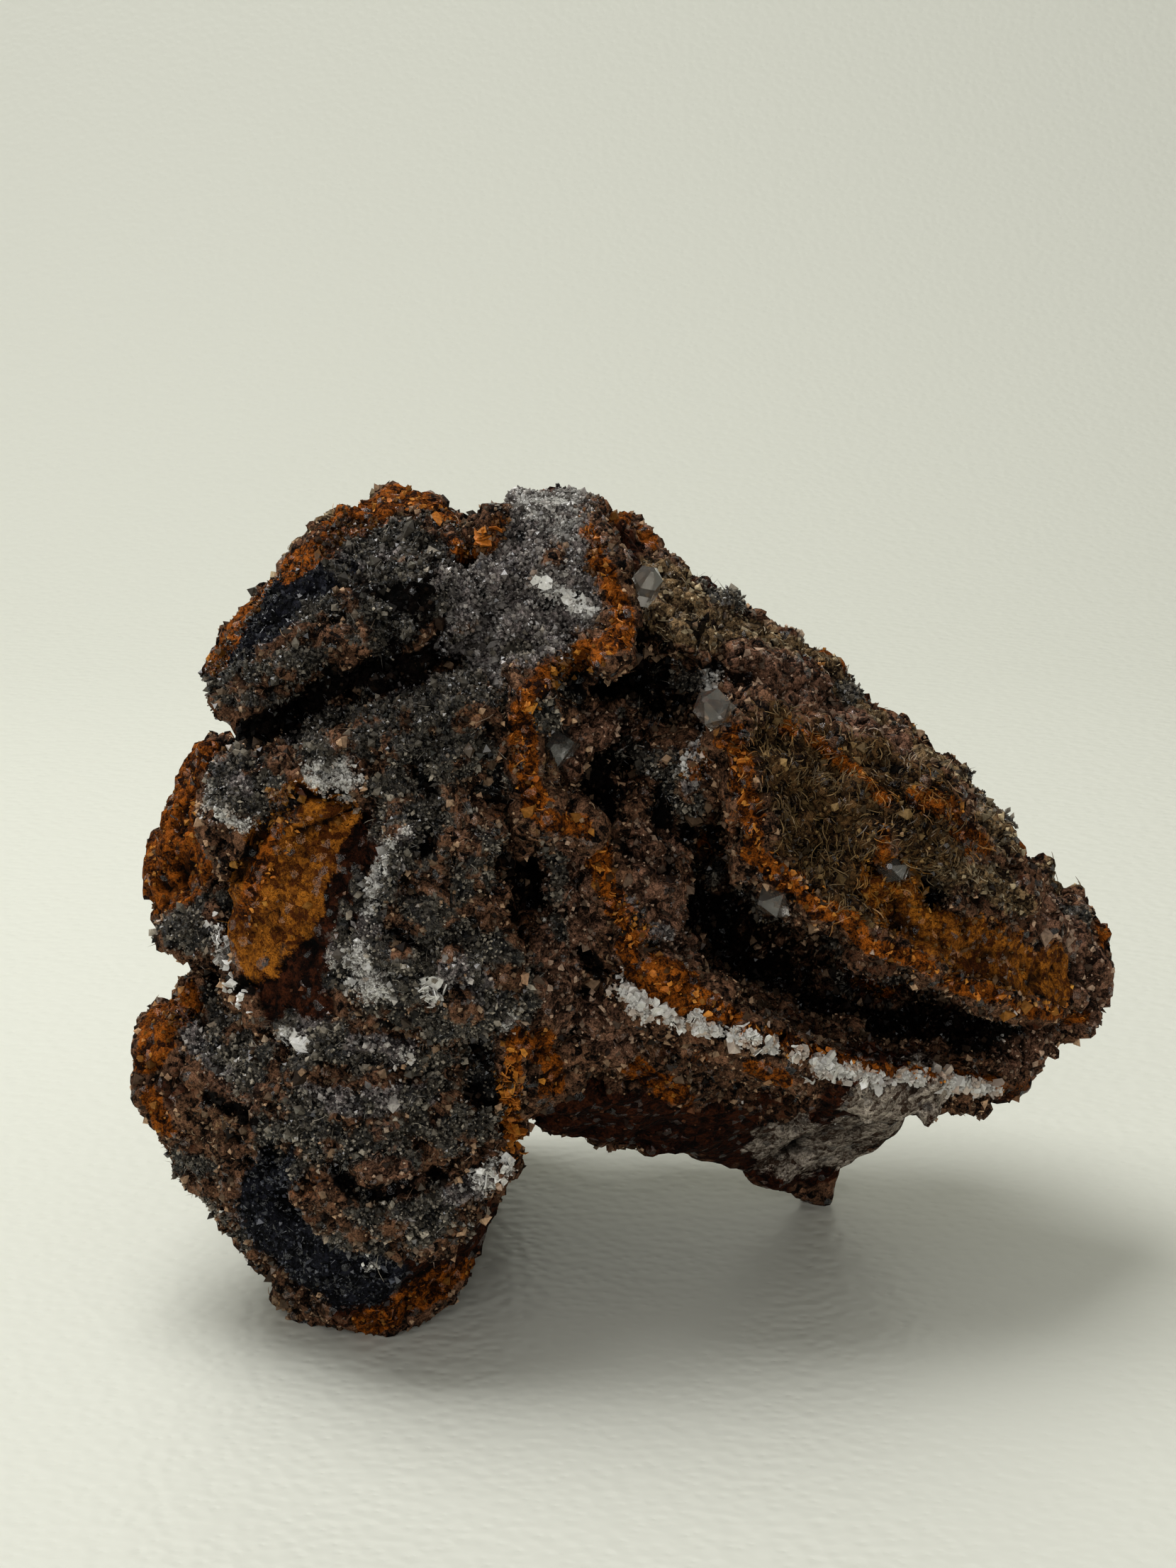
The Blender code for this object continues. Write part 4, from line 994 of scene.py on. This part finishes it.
class SPECIMEN_OT_rock(bpy.types.Operator):
    """Makes the rock's skin from the CAD lump and crusts, and paints it with minerals"""

    bl_idname = "specimen.rock"
    bl_label = "Rock skin"

    def execute(self, context):
        sizes = context.scene.specimen_rock
        lump = self.fused_lump(sizes)
        mesh = with_modifier(lump, "REMESH", {"mode": "VOXEL", "voxel_size": sizes.voxel})
        points = read_points(mesh)
        tree = BVHTree.FromPolygons(points.tolist(), [tuple(face.vertices) for face in mesh.polygons])
        MADE["strokes"] = lay_strokes(tree)
        self.shape_broadly(mesh, sizes)
        self.shape_finely(mesh, sizes)
        normals = read_normals(mesh)
        to_eye = CAMERA_EYE - read_points(mesh)
        away = np.einsum("ij,ij->i", normals, to_eye) < -20
        faces = sum(len(face.vertices) - 2 for face in mesh.polygons)
        mesh = with_modifier(mesh, "DECIMATE", {
            "ratio": min(1.0, sizes.triangles / faces), "vertex_group_factor": 5.0}, away)
        mesh.shade_smooth()
        self.keep_skin(mesh)
        MADE["tree"] = BVHTree.FromPolygons(
            MADE["skin"]["points"].tolist(), [tuple(face.vertices) for face in mesh.polygons])
        place_piece("gossan_skin", mesh, weathered_gossan(), ["gossan"])
        return {"FINISHED"}

    def fused_lump(self, sizes):
        """The gossan with its outer crusts, each grown by the swell so that no gap is left between them."""
        shape = bmesh.new()
        shape.from_mesh(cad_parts["gossan"].data)
        bmesh.ops.remove_doubles(shape, verts=shape.verts, dist=1e-6)
        for node in ("hood_druse", "front_druse", "leg_druse", "white_vein", "crest_quartz"):
            crust = bmesh.new()
            crust.from_mesh(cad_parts[node].data)
            bmesh.ops.remove_doubles(crust, verts=crust.verts, dist=1e-6)
            grown = bpy.data.meshes.new(node + "_grown")
            crust.to_mesh(grown)
            crust.free()
            write_points(grown, read_points(grown) + read_normals(grown) * sizes.swell / MM)
            shape.from_mesh(grown)
        lump = bpy.data.meshes.new("lump")
        shape.to_mesh(lump)
        shape.free()
        return lump

    def shape_broadly(self, mesh, sizes):
        """Moves the skin by the strokes' rise, broad lumps, cracked blocks and pits.

        A block is a cell that stands in or out by its own mark, with a crack round it. A pit is a
        cell whose mark is high: it goes in by the pit depth near its spot and by nothing beyond
        half of the cell.
        """
        points = read_points(mesh)
        weights, rise = paint(points)
        calm = weights["ochre"] + weights["umber"] + 0.7 * weights["blue"] + 0.3 * weights["rust"]
        calm = np.maximum(np.clip(calm, 0, 1), calmness(points))
        height = np.maximum(rise, 0) * (0.85 + 0.4 * wavy(points, 1.3, 5))
        height += sizes.relief / MM * rough(points, 4.5, 4, 3) * (1 - 0.8 * calm)
        height += 0.7 * (0.35 - np.abs(wavy(points, 2.4, 8))) * (1 - calm)
        near, following, mark = grains(wander(points, 1.5, 0.5, 43), 1.9, 9)
        block = 0.6 * (mark - 0.5) - 0.5 * smooth_step(0.16 - following + near, 0, 0.16)
        height += block * (1 - calm) * (1 - 0.6 * np.clip(weights["rust"] + weights["white"], 0, 1))
        near, _, mark = grains(wander(points, 2.0, 0.6, 41), 2.8, 7)
        pit = smooth_step(0.5 - near, 0.0, 0.3) * (mark > 0.5)
        cover = np.clip(weights["grey"] + weights["cloudy"] + weights["white"] + weights["rust"], 0, 1)
        height -= sizes.pit_depth / MM * pit * (1 - calm) * (1 - 0.8 * cover)
        moved = points + read_normals(mesh) * height[:, None]
        write_points(mesh, keep_in_box(moved - LOOKING * np.minimum(rise, 0)[:, None]))

    def shape_finely(self, mesh, sizes):
        """Adds rounded grains: in each cell a dome of height 1 - (distance / 0.7) squared, in two sizes."""
        points = read_points(mesh)
        weights, _ = paint(points)
        calm = np.clip(0.9 * weights["ochre"] + 0.85 * weights["umber"] + 0.6 * weights["blue"], 0, 1)
        calm = np.maximum(calm, calmness(points))
        moved = wander(points, 0.9, 0.2, 45)
        height = np.zeros(len(points))
        for size, share, seed in ((1.7, 1.0, 11), (0.85, 0.55, 12)):
            near, _, mark = grains(moved, size, seed)
            dome = np.clip(1 - (near / 0.7) ** 2, -0.4, 1)
            height += share * (0.4 + mark) * dome
        height *= sizes.grape_height / MM * 0.7 * (1 - 0.75 * calm)
        height += 0.16 * rough(points, 0.6, 2, 15) * (1 - 0.5 * calm)
        wiry = np.clip(weights["olive"] + 0.5 * weights["tan"], 0, 1)
        swirl = wander(points, 3.5, 1.6, 47)
        height += 0.42 * wiry * (1 - 2 * np.abs(wavy(swirl * (1, 1, 2.2), 1.3, 16)))
        points = points + read_normals(mesh) * height[:, None]
        write_points(mesh, keep_in_box(points))

    def keep_skin(self, mesh):
        """Keeps the skin's arrays for the small things, and writes the minerals' weights to the mesh."""
        points, normals = keep_in_box(read_points(mesh)), read_normals(mesh)
        write_points(mesh, points)
        mesh.calc_loop_triangles()
        triangles = read_array(mesh.loop_triangles, "vertices", 3, np.int64)
        sides = points[triangles]
        areas = np.linalg.norm(np.cross(sides[:, 1] - sides[:, 0], sides[:, 2] - sides[:, 0]), axis=1) / 2
        weights, _ = paint(points)
        weights = hidden_sides(points, weights)
        # The hollow weight also darkens the rock's colour in creases and crevices: painted shade
        weights["hollow"] = self.hollows(mesh, points, normals)
        for name, values in weights.items():
            layer = mesh.attributes.new(name, "FLOAT", "POINT")
            layer.data.foreach_set("value", values.astype(np.float32))
        MADE["skin"] = {
            "points": points, "normals": normals, "triangles": triangles, "areas": areas, **weights}

    def hollows(self, mesh, points, normals):
        """From 0 on bumps to 1 in creases: how far a vertex lies below the mean of its neighbours.

        The larger of two readings counts: a near one for fine creases, a wide one for crevices.
        """
        edges = read_array(mesh.edges, "vertices", 2, np.int64)
        count = np.maximum(np.bincount(edges.ravel(), minlength=len(points)), 1)[:, None]
        value, readings = points, []
        for turns, low, high in ((6, -0.02, 0.22), (30, 0.05, 0.9)):
            for _ in range(turns):
                total = [
                    np.bincount(edges[:, 0], value[edges[:, 1], axis], len(points))
                    + np.bincount(edges[:, 1], value[edges[:, 0], axis], len(points)) for axis in range(3)]
                value = np.stack(total, axis=1) / count
            readings.append(smooth_step(np.einsum("ij,ij->i", value - points, normals), low, high))
        return np.maximum(*readings)


class SPECIMEN_OT_druse(bpy.types.Operator):
    """Grows the grey druse crystals on the hood, the front and the leg"""

    bl_idname = "specimen.druse"
    bl_label = "Grey druse"

    def execute(self, context):
        sizes = context.scene.specimen_crystals
        skin = MADE["skin"]
        material = tinted("quartz_druse", 0.14, 0.2, 1.55, 0.3, 0.3)
        pale = skin["cloudy"] * ~near_node("crest_quartz")
        weight = np.clip(smooth_step(skin["grey"], 0.25, 0.7) + 0.4 * skin["blue"] + pale, 0, 1)
        weight *= 1 - 0.6 * skin["hollow"]
        x, z = skin["points"][:, 0], skin["points"][:, 2]
        regions = {
            "hood_druse": (z > HOOD_FOOT) & (x < HOOD_RIGHT),
            "leg_druse": (z < LEG_TOP) & (x < LEG_RIGHT),
        }
        regions["front_druse"] = ~regions["hood_druse"] & ~regions["leg_druse"]
        for number, (node, inside) in enumerate(regions.items()):
            many, dim = {"hood_druse": (0.9, 0.45), "leg_druse": (1.0, 0.95), "front_druse": (1.6, 1.0)}[node]
            count = round(many * sizes.druse_count)
            roots, normals, corners, draw = sow(count, weight * inside, 201 + number)
            length = sizes.druse_length / MM * draw.lognormal(-0.1, 0.45, count)
            axes = leaning(normals, 0.5, draw)
            shade = draw.beta(0.7, 2.1, count)
            widths = length * draw.uniform(0.25, 0.5, count)
            points, triangles = grow(SPEAR, roots, axes, widths, length, draw)
            small_piece(node + "_crystals", [(points, triangles, tints(corners, shade, dim))],
                        material, [node])
        return {"FINISHED"}


class SPECIMEN_OT_crest(bpy.types.Operator):
    """Grows the cloudy quartz of the crest"""

    bl_idname = "specimen.crest"
    bl_label = "Crest quartz"

    def execute(self, context):
        sizes = context.scene.specimen_crystals
        skin = MADE["skin"]
        weight = smooth_step(skin["cloudy"], 0.2, 0.6) * (1 - 0.5 * skin["hollow"])
        weight = weight * near_node("crest_quartz")
        count = sizes.crest_count
        roots, normals, corners, draw = sow(count, weight, 301)
        length = sizes.crest_length / MM * draw.lognormal(-0.15, 0.4, count)
        points, triangles = grow(SPEAR, roots, leaning(normals, 0.45, draw),
                                 length * draw.uniform(0.25, 0.5, count), length, draw)
        colours = tints(corners, draw.beta(1.0, 1.5, count), 1.0, "#A0948C", 0.15)
        small_piece("crest_crystals", [(points, triangles, colours)],
                    tinted("cloudy_quartz", 0.16, 0.55, 1.54, 0.15), ["crest_quartz"])
        return {"FINISHED"}


class SPECIMEN_OT_vein(bpy.types.Operator):
    """Grows the white vein under the lower lip and the white crystals elsewhere"""

    bl_idname = "specimen.vein"
    bl_label = "White vein"

    def execute(self, context):
        sizes = context.scene.specimen_crystals
        skin = MADE["skin"]
        material = tinted("milky_calcite", 0.3, 0.25, 1.56, 0.12)
        x, z = skin["points"][:, 0], skin["points"][:, 2]
        vein = (x > VEIN_LEFT) & (z < VEIN_TOP)
        count = sizes.vein_count
        for name, inside, nodes, seed, many in (
            ("vein_crystals", vein, ["white_vein"], 401, count),
            ("white_crystals", ~vein, [], 411, 2 * count),
        ):
            weight = smooth_step(skin["white"] + 0.5 * wavy(skin["points"], 0.9, 95), 0.4, 0.9) * inside
            roots, normals, corners, draw = sow(many, weight, seed)
            length = sizes.vein_length / MM * draw.lognormal(-0.4, 0.45, many)
            if name == "white_crystals":
                length = length * 0.6
            points, triangles = grow(crystal(3, 0.8), roots, leaning(normals, 0.7, draw),
                                     length * draw.uniform(0.3, 0.6, many), length, draw)
            colours = tints(corners, draw.beta(3, 1.5, many), 1.0, "#E6E2DA", 0.5)
            small_piece(name, [(points, triangles, colours)], material, nodes)
        return {"FINISHED"}


class SPECIMEN_OT_hollow(bpy.types.Operator):
    """Lines the big hollow with crystals tinted near black, a painted shade of the hollow"""

    bl_idname = "specimen.hollow"
    bl_label = "Hollow crust"

    def execute(self, context):
        sizes = context.scene.specimen_crystals
        skin = MADE["skin"]
        inside = near_node("hollow_crust", 0.6)
        painted = np.clip(skin["rust"] + skin["white"], 0, 1)
        count = sizes.lining_count
        roots, normals, corners, draw = sow(count, inside * (1 - painted), 501)
        length = sizes.lining_length / MM * draw.lognormal(-0.1, 0.35, count)
        points, triangles = grow(SPEAR, roots, leaning(normals, 0.5, draw),
                                 length * draw.uniform(0.25, 0.5, count), length, draw)
        # Tinted towards near black and dimmed: painted shade of the deep hollow
        colours = tints(corners, draw.beta(1.2, 3, count), 0.8, "#1D1512", 0.5)
        small_piece("hollow_crystals", [(points, triangles, colours)],
                    tinted("hollow_shade_quartz", 0.25, 0.1, 1.54, 0.3, 0.25), ["hollow_crust"])
        return {"FINISHED"}


class SPECIMEN_OT_grains(bpy.types.Operator):
    """Scatters grains over the bare rock, and needles over the fuzzy druse"""

    bl_idname = "specimen.grains"
    bl_label = "Grains and needles"

    def execute(self, context):
        sizes = context.scene.specimen_crystals
        skin = MADE["skin"]
        bare = 1 - np.clip(skin["cloudy"] + 0.8 * skin["grey"] + skin["white"], 0, 1)
        bare *= 1 - 0.85 * np.clip(skin["umber"] + skin["ochre"] + skin["blue"] + 0.5 * skin["rust"], 0, 1)
        bare *= 1 - calmness(skin["points"])
        shown = skin["normals"] @ -LOOKING > -0.1
        dusty = tinted("gossan_grains", 0.6, 0.0, 1.5, 0.35, 0.12)
        for name, inside, seed in (("front_grains", shown, 601), ("back_grains", ~shown, 611)):
            count = sizes.grain_count if inside is shown else sizes.grain_count // 4
            roots, normals, corners, draw = sow(count, bare * inside, seed)
            size = sizes.grain_size / MM * draw.lognormal(-0.3, 0.55, count)
            points, triangles = grow(GRAIN, roots, leaning(normals, 0.9, draw), size * 0.6, size * 0.8, draw)
            colours = tints(corners, draw.beta(0.9, 1.7, count))
            small_piece(name, [(points, triangles, colours)], dusty)
        count = sizes.needle_count
        patches = 0.2 + smooth_step(wavy(skin["points"], 5, 9), -0.1, 0.4)
        fuzzy = np.clip(skin["grey"] + 0.6 * skin["blue"], 0, 1) * patches
        roots, normals, corners, draw = sow(count, fuzzy, 621)
        length = sizes.needle_length / MM * draw.lognormal(-0.1, 0.4, count)
        widths = np.full(count, sizes.needle_radius / MM)
        points, triangles = grow(NEEDLE, roots, leaning(normals, 0.9, draw), widths, length, draw)
        small_piece("druse_needles", [(points, triangles, tints(corners, draw.beta(2, 2, count), 0.6))],
                    tinted("silky_needles", 0.3, 0.2, 1.6))
        return {"FINISHED"}


class SPECIMEN_OT_strands(bpy.types.Operator):
    """Lays wiry strands over the dome and the right slope, and a few loose hairs on the druse"""

    bl_idname = "specimen.strands"
    bl_label = "Strands"

    def execute(self, context):
        sizes = context.scene.specimen_crystals
        skin = MADE["skin"]
        silky = tinted("goethite_fibres", 0.4, 0.0, 1.6, 0.3, 0.2)
        for name, mineral, seed, many, reach, width, colour in (
            ("dome_strands", "olive", 701, sizes.strand_count, 0.75, sizes.strand_width / MM, "#5E4A2C"),
            ("slope_strands", "tan", 711, sizes.strand_count, 0.6, sizes.strand_width / MM * 0.8, "#A8977A"),
            ("druse_hairs", "grey", 721, 240, 1.1, 0.035, "#B9B3A6"),
        ):
            roots, normals, corners, draw = sow(many, smooth_step(skin[mineral], 0.2, 0.6), seed)
            field = np.stack([wavy(roots, 3.0, 80 + axis) for axis in range(3)], axis=1)
            field += 0.15 * draw.normal(size=field.shape)
            heads = np.cross(normals, field)
            heads /= np.linalg.norm(heads, axis=1)[:, None]
            length = reach * draw.lognormal(-0.1, 0.35, many)
            points, triangles = strands(roots - 0.05 * normals, heads, normals, length,
                                        np.full(many, width), 0.13, 0.09, draw)
            colours = tints(corners, draw.beta(1.2, 1.6, many), 1.0, colour, 0.3)
            small_piece(name, [(points, triangles, colours)], silky)
        return {"FINISHED"}


class SPECIMEN_OT_plates(bpy.types.Operator):
    """Sets thin broken plates of rust and of white mineral along their paths"""

    bl_idname = "specimen.plates"
    bl_label = "Plates"

    def execute(self, context):
        draw = np.random.default_rng(801)
        finishes = {
            "rust": ("rust_plates", tinted("limonite_plates", 0.5, 0.0, 1.6, 0.4, 0.15), "gossan"),
            "white": ("white_plates", tinted("cerussite_plates", 0.25, 0.2, 1.8, 0.15), "white_vein"),
        }
        for mineral, paths in PLATES.items():
            _, light, bright = (np.array(linear(code)) for code in MINERALS[mineral])
            parts = []
            for _, count, size, upright, path in paths:
                roots, normals = self.find_roots(np.array(picture_points(path)), count, draw)
                across = side_axes(normals, draw.uniform(0, 2 * math.pi, len(roots)))[0]
                axes = leaning((1 - upright) * normals + upright * across, 0.2, draw)
                sizes = size * draw.lognormal(-0.15, 0.35, len(roots))
                points, triangles = plates(roots + 0.25 * size * normals, axes, sizes, draw)
                shade = draw.beta(1.6, 1.4, (len(roots), 1))
                parts.append((points, triangles, light * (1 - shade) + bright * shade))
            name, material, slot = finishes[mineral]
            small_piece(name, parts, material)
        return {"FINISHED"}

    def find_roots(self, path, count, draw):
        """Roots and normals on the rock, at random along a path and some 0.3 mm beside it."""
        legs = draw.integers(0, len(path) - 1, count)
        share = draw.random((count, 1))
        places = path[legs] * (1 - share) + path[legs + 1] * share + draw.normal(0, 0.3, (count, 2))
        hits = [see(MADE["tree"], *place) for place in places]
        roots, normals = zip(*(hit for hit in hits if hit[0] is not None))
        return np.array(roots), np.array(normals)


class SPECIMEN_OT_clear(bpy.types.Operator):
    """Gives the five clear crystals their finish"""

    bl_idname = "specimen.clear"
    bl_label = "Clear crystals"

    def execute(self, context):
        finish = clear_calcite()
        for node in ("window_crystal", "bead_crystal", "ledge_crystal", "block_crystal", "brow_crystal"):
            crystal_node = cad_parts[node]
            if crystal_node.material_slots:
                crystal_node.material_slots[0].material = finish
            else:
                crystal_node.data.materials.append(finish)
        return {"FINISHED"}


class SPECIMEN_OT_stage(bpy.types.Operator):
    """Sets up the floor, the lights and the camera"""

    bl_idname = "specimen.stage"
    bl_label = "Stage"

    def execute(self, context):
        look = context.scene.specimen_stage
        self.add_floor(look)
        self.add_light("key", *KEY_LIGHT, look.key_power)
        self.add_light("fill", *FILL_LIGHT, look.fill_power)
        world = bpy.data.worlds.new("studio")
        world.use_nodes = True
        ground = world.node_tree.nodes["Background"]
        ground.inputs["Color"].default_value = (*linear("#F2F1EC"), 1)
        ground.inputs["Strength"].default_value = look.sky
        context.scene.world = world
        context.scene.view_settings.view_transform = "Standard"
        self.add_camera(context)
        return {"FINISHED"}

    def add_floor(self, look):
        """A sheet swept along one profile: flat, then a quarter circle up, then a wall."""
        reach = 900.0
        bend = 200.0
        start = 170.0
        turn = np.linspace(0, math.pi / 2, 25)
        flat = np.array([(-reach, 0.0), (-300, 0), (-100, 0), (0, 0), (60, 0)])
        curve = np.stack((start + bend * np.sin(turn), bend - bend * np.cos(turn)), axis=1)
        wall = np.array([(start + bend, bend + 300.0), (start + bend, bend + 900.0)])
        profile = np.concatenate((flat, curve, wall))
        across = np.linspace(-reach, reach, 9)
        grid = np.stack(np.broadcast_arrays(across[:, None], *profile.T[:, None]), axis=2)
        numbers = np.arange(grid.shape[0] * grid.shape[1]).reshape(grid.shape[:2])
        a, b = numbers[:-1, :-1].ravel(), numbers[1:, :-1].ravel()
        c, d = numbers[1:, 1:].ravel(), numbers[:-1, 1:].ravel()
        triangles = np.concatenate((np.stack((a, b, c), 1), np.stack((a, c, d), 1)))
        mesh = triangle_mesh("floor", grid.reshape(-1, 3), triangles)
        mesh.shade_smooth()
        floor = bpy.data.objects.new("floor", mesh)
        bpy.context.scene.collection.objects.link(floor)
        mesh.materials.append(grained_plastic(tuple(look.floor_colour)))
        floor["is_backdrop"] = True

    def add_light(self, name, place, target, size, power):
        """A square soft light, `size` wide, that faces its target."""
        light = bpy.data.lights.new(name, "AREA")
        light.energy = power
        light.size = size * MM
        lamp = bpy.data.objects.new(name, light)
        lamp.location = Vector(place) * MM
        lamp.rotation_euler = (Vector(target) - Vector(place)).to_track_quat("-Z", "Y").to_euler()
        bpy.context.scene.collection.objects.link(lamp)

    def add_camera(self, context):
        """The photograph's camera: its lens makes one picture point PIXEL_SIZE wide at the aim."""
        camera = bpy.data.cameras.new("camera")
        camera.sensor_fit = "VERTICAL"
        camera.sensor_height = SENSOR
        camera.lens = SENSOR * CAMERA_DISTANCE / (PHOTO_HEIGHT * PIXEL_SIZE)
        camera.clip_start = 10 * MM
        camera.clip_end = 5000 * MM
        eye = bpy.data.objects.new("camera", camera)
        eye.location = Vector(CAMERA_EYE) * MM
        eye.rotation_euler = (math.pi / 2 - CAMERA_PITCH, 0, 0)
        context.scene.collection.objects.link(eye)
        context.scene.camera = eye


class SPECIMEN_PT_panel(bpy.types.Panel):
    """Lists the sizes, the colours and the pieces"""

    bl_label = "Plattnerite specimen"
    bl_idname = "SPECIMEN_PT_panel"
    bl_space_type = "VIEW_3D"
    bl_region_type = "UI"
    bl_category = "Specimen"

    def draw(self, context):
        for name in SETTINGS:
            settings = getattr(context.scene, name)
            box = self.layout.box()
            for key in settings.__annotations__:
                box.prop(settings, key)
        for operator in OPERATORS:
            self.layout.operator(operator.bl_idname)


OPERATORS = (
    SPECIMEN_OT_rock,
    SPECIMEN_OT_druse,
    SPECIMEN_OT_crest,
    SPECIMEN_OT_vein,
    SPECIMEN_OT_hollow,
    SPECIMEN_OT_grains,
    SPECIMEN_OT_strands,
    SPECIMEN_OT_plates,
    SPECIMEN_OT_clear,
    SPECIMEN_OT_stage,
)
SETTINGS = {
    "specimen_rock": RockSettings,
    "specimen_crystals": CrystalSettings,
    "specimen_stage": StageSettings,
}


def register():
    """Registers the settings, the operators and the panel."""
    for name, settings in SETTINGS.items():
        bpy.utils.register_class(settings)
        setattr(bpy.types.Scene, name, bpy.props.PointerProperty(type=settings))
    for operator in OPERATORS:
        bpy.utils.register_class(operator)
    bpy.utils.register_class(SPECIMEN_PT_panel)


def unregister():
    """Takes away what register adds."""
    bpy.utils.unregister_class(SPECIMEN_PT_panel)
    for operator in reversed(OPERATORS):
        bpy.utils.unregister_class(operator)
    for name, settings in SETTINGS.items():
        delattr(bpy.types.Scene, name)
        bpy.utils.unregister_class(settings)


def main():
    """Builds every piece in order."""
    cad_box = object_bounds()
    MADE["box"] = [np.array(corner) / MM for corner in cad_box]
    register()
    bpy.ops.specimen.rock()
    bpy.ops.specimen.druse()
    bpy.ops.specimen.crest()
    bpy.ops.specimen.vein()
    bpy.ops.specimen.hollow()
    bpy.ops.specimen.grains()
    bpy.ops.specimen.strands()
    bpy.ops.specimen.plates()
    bpy.ops.specimen.clear()
    bpy.ops.specimen.stage()


if __name__ == "__main__":
    main()
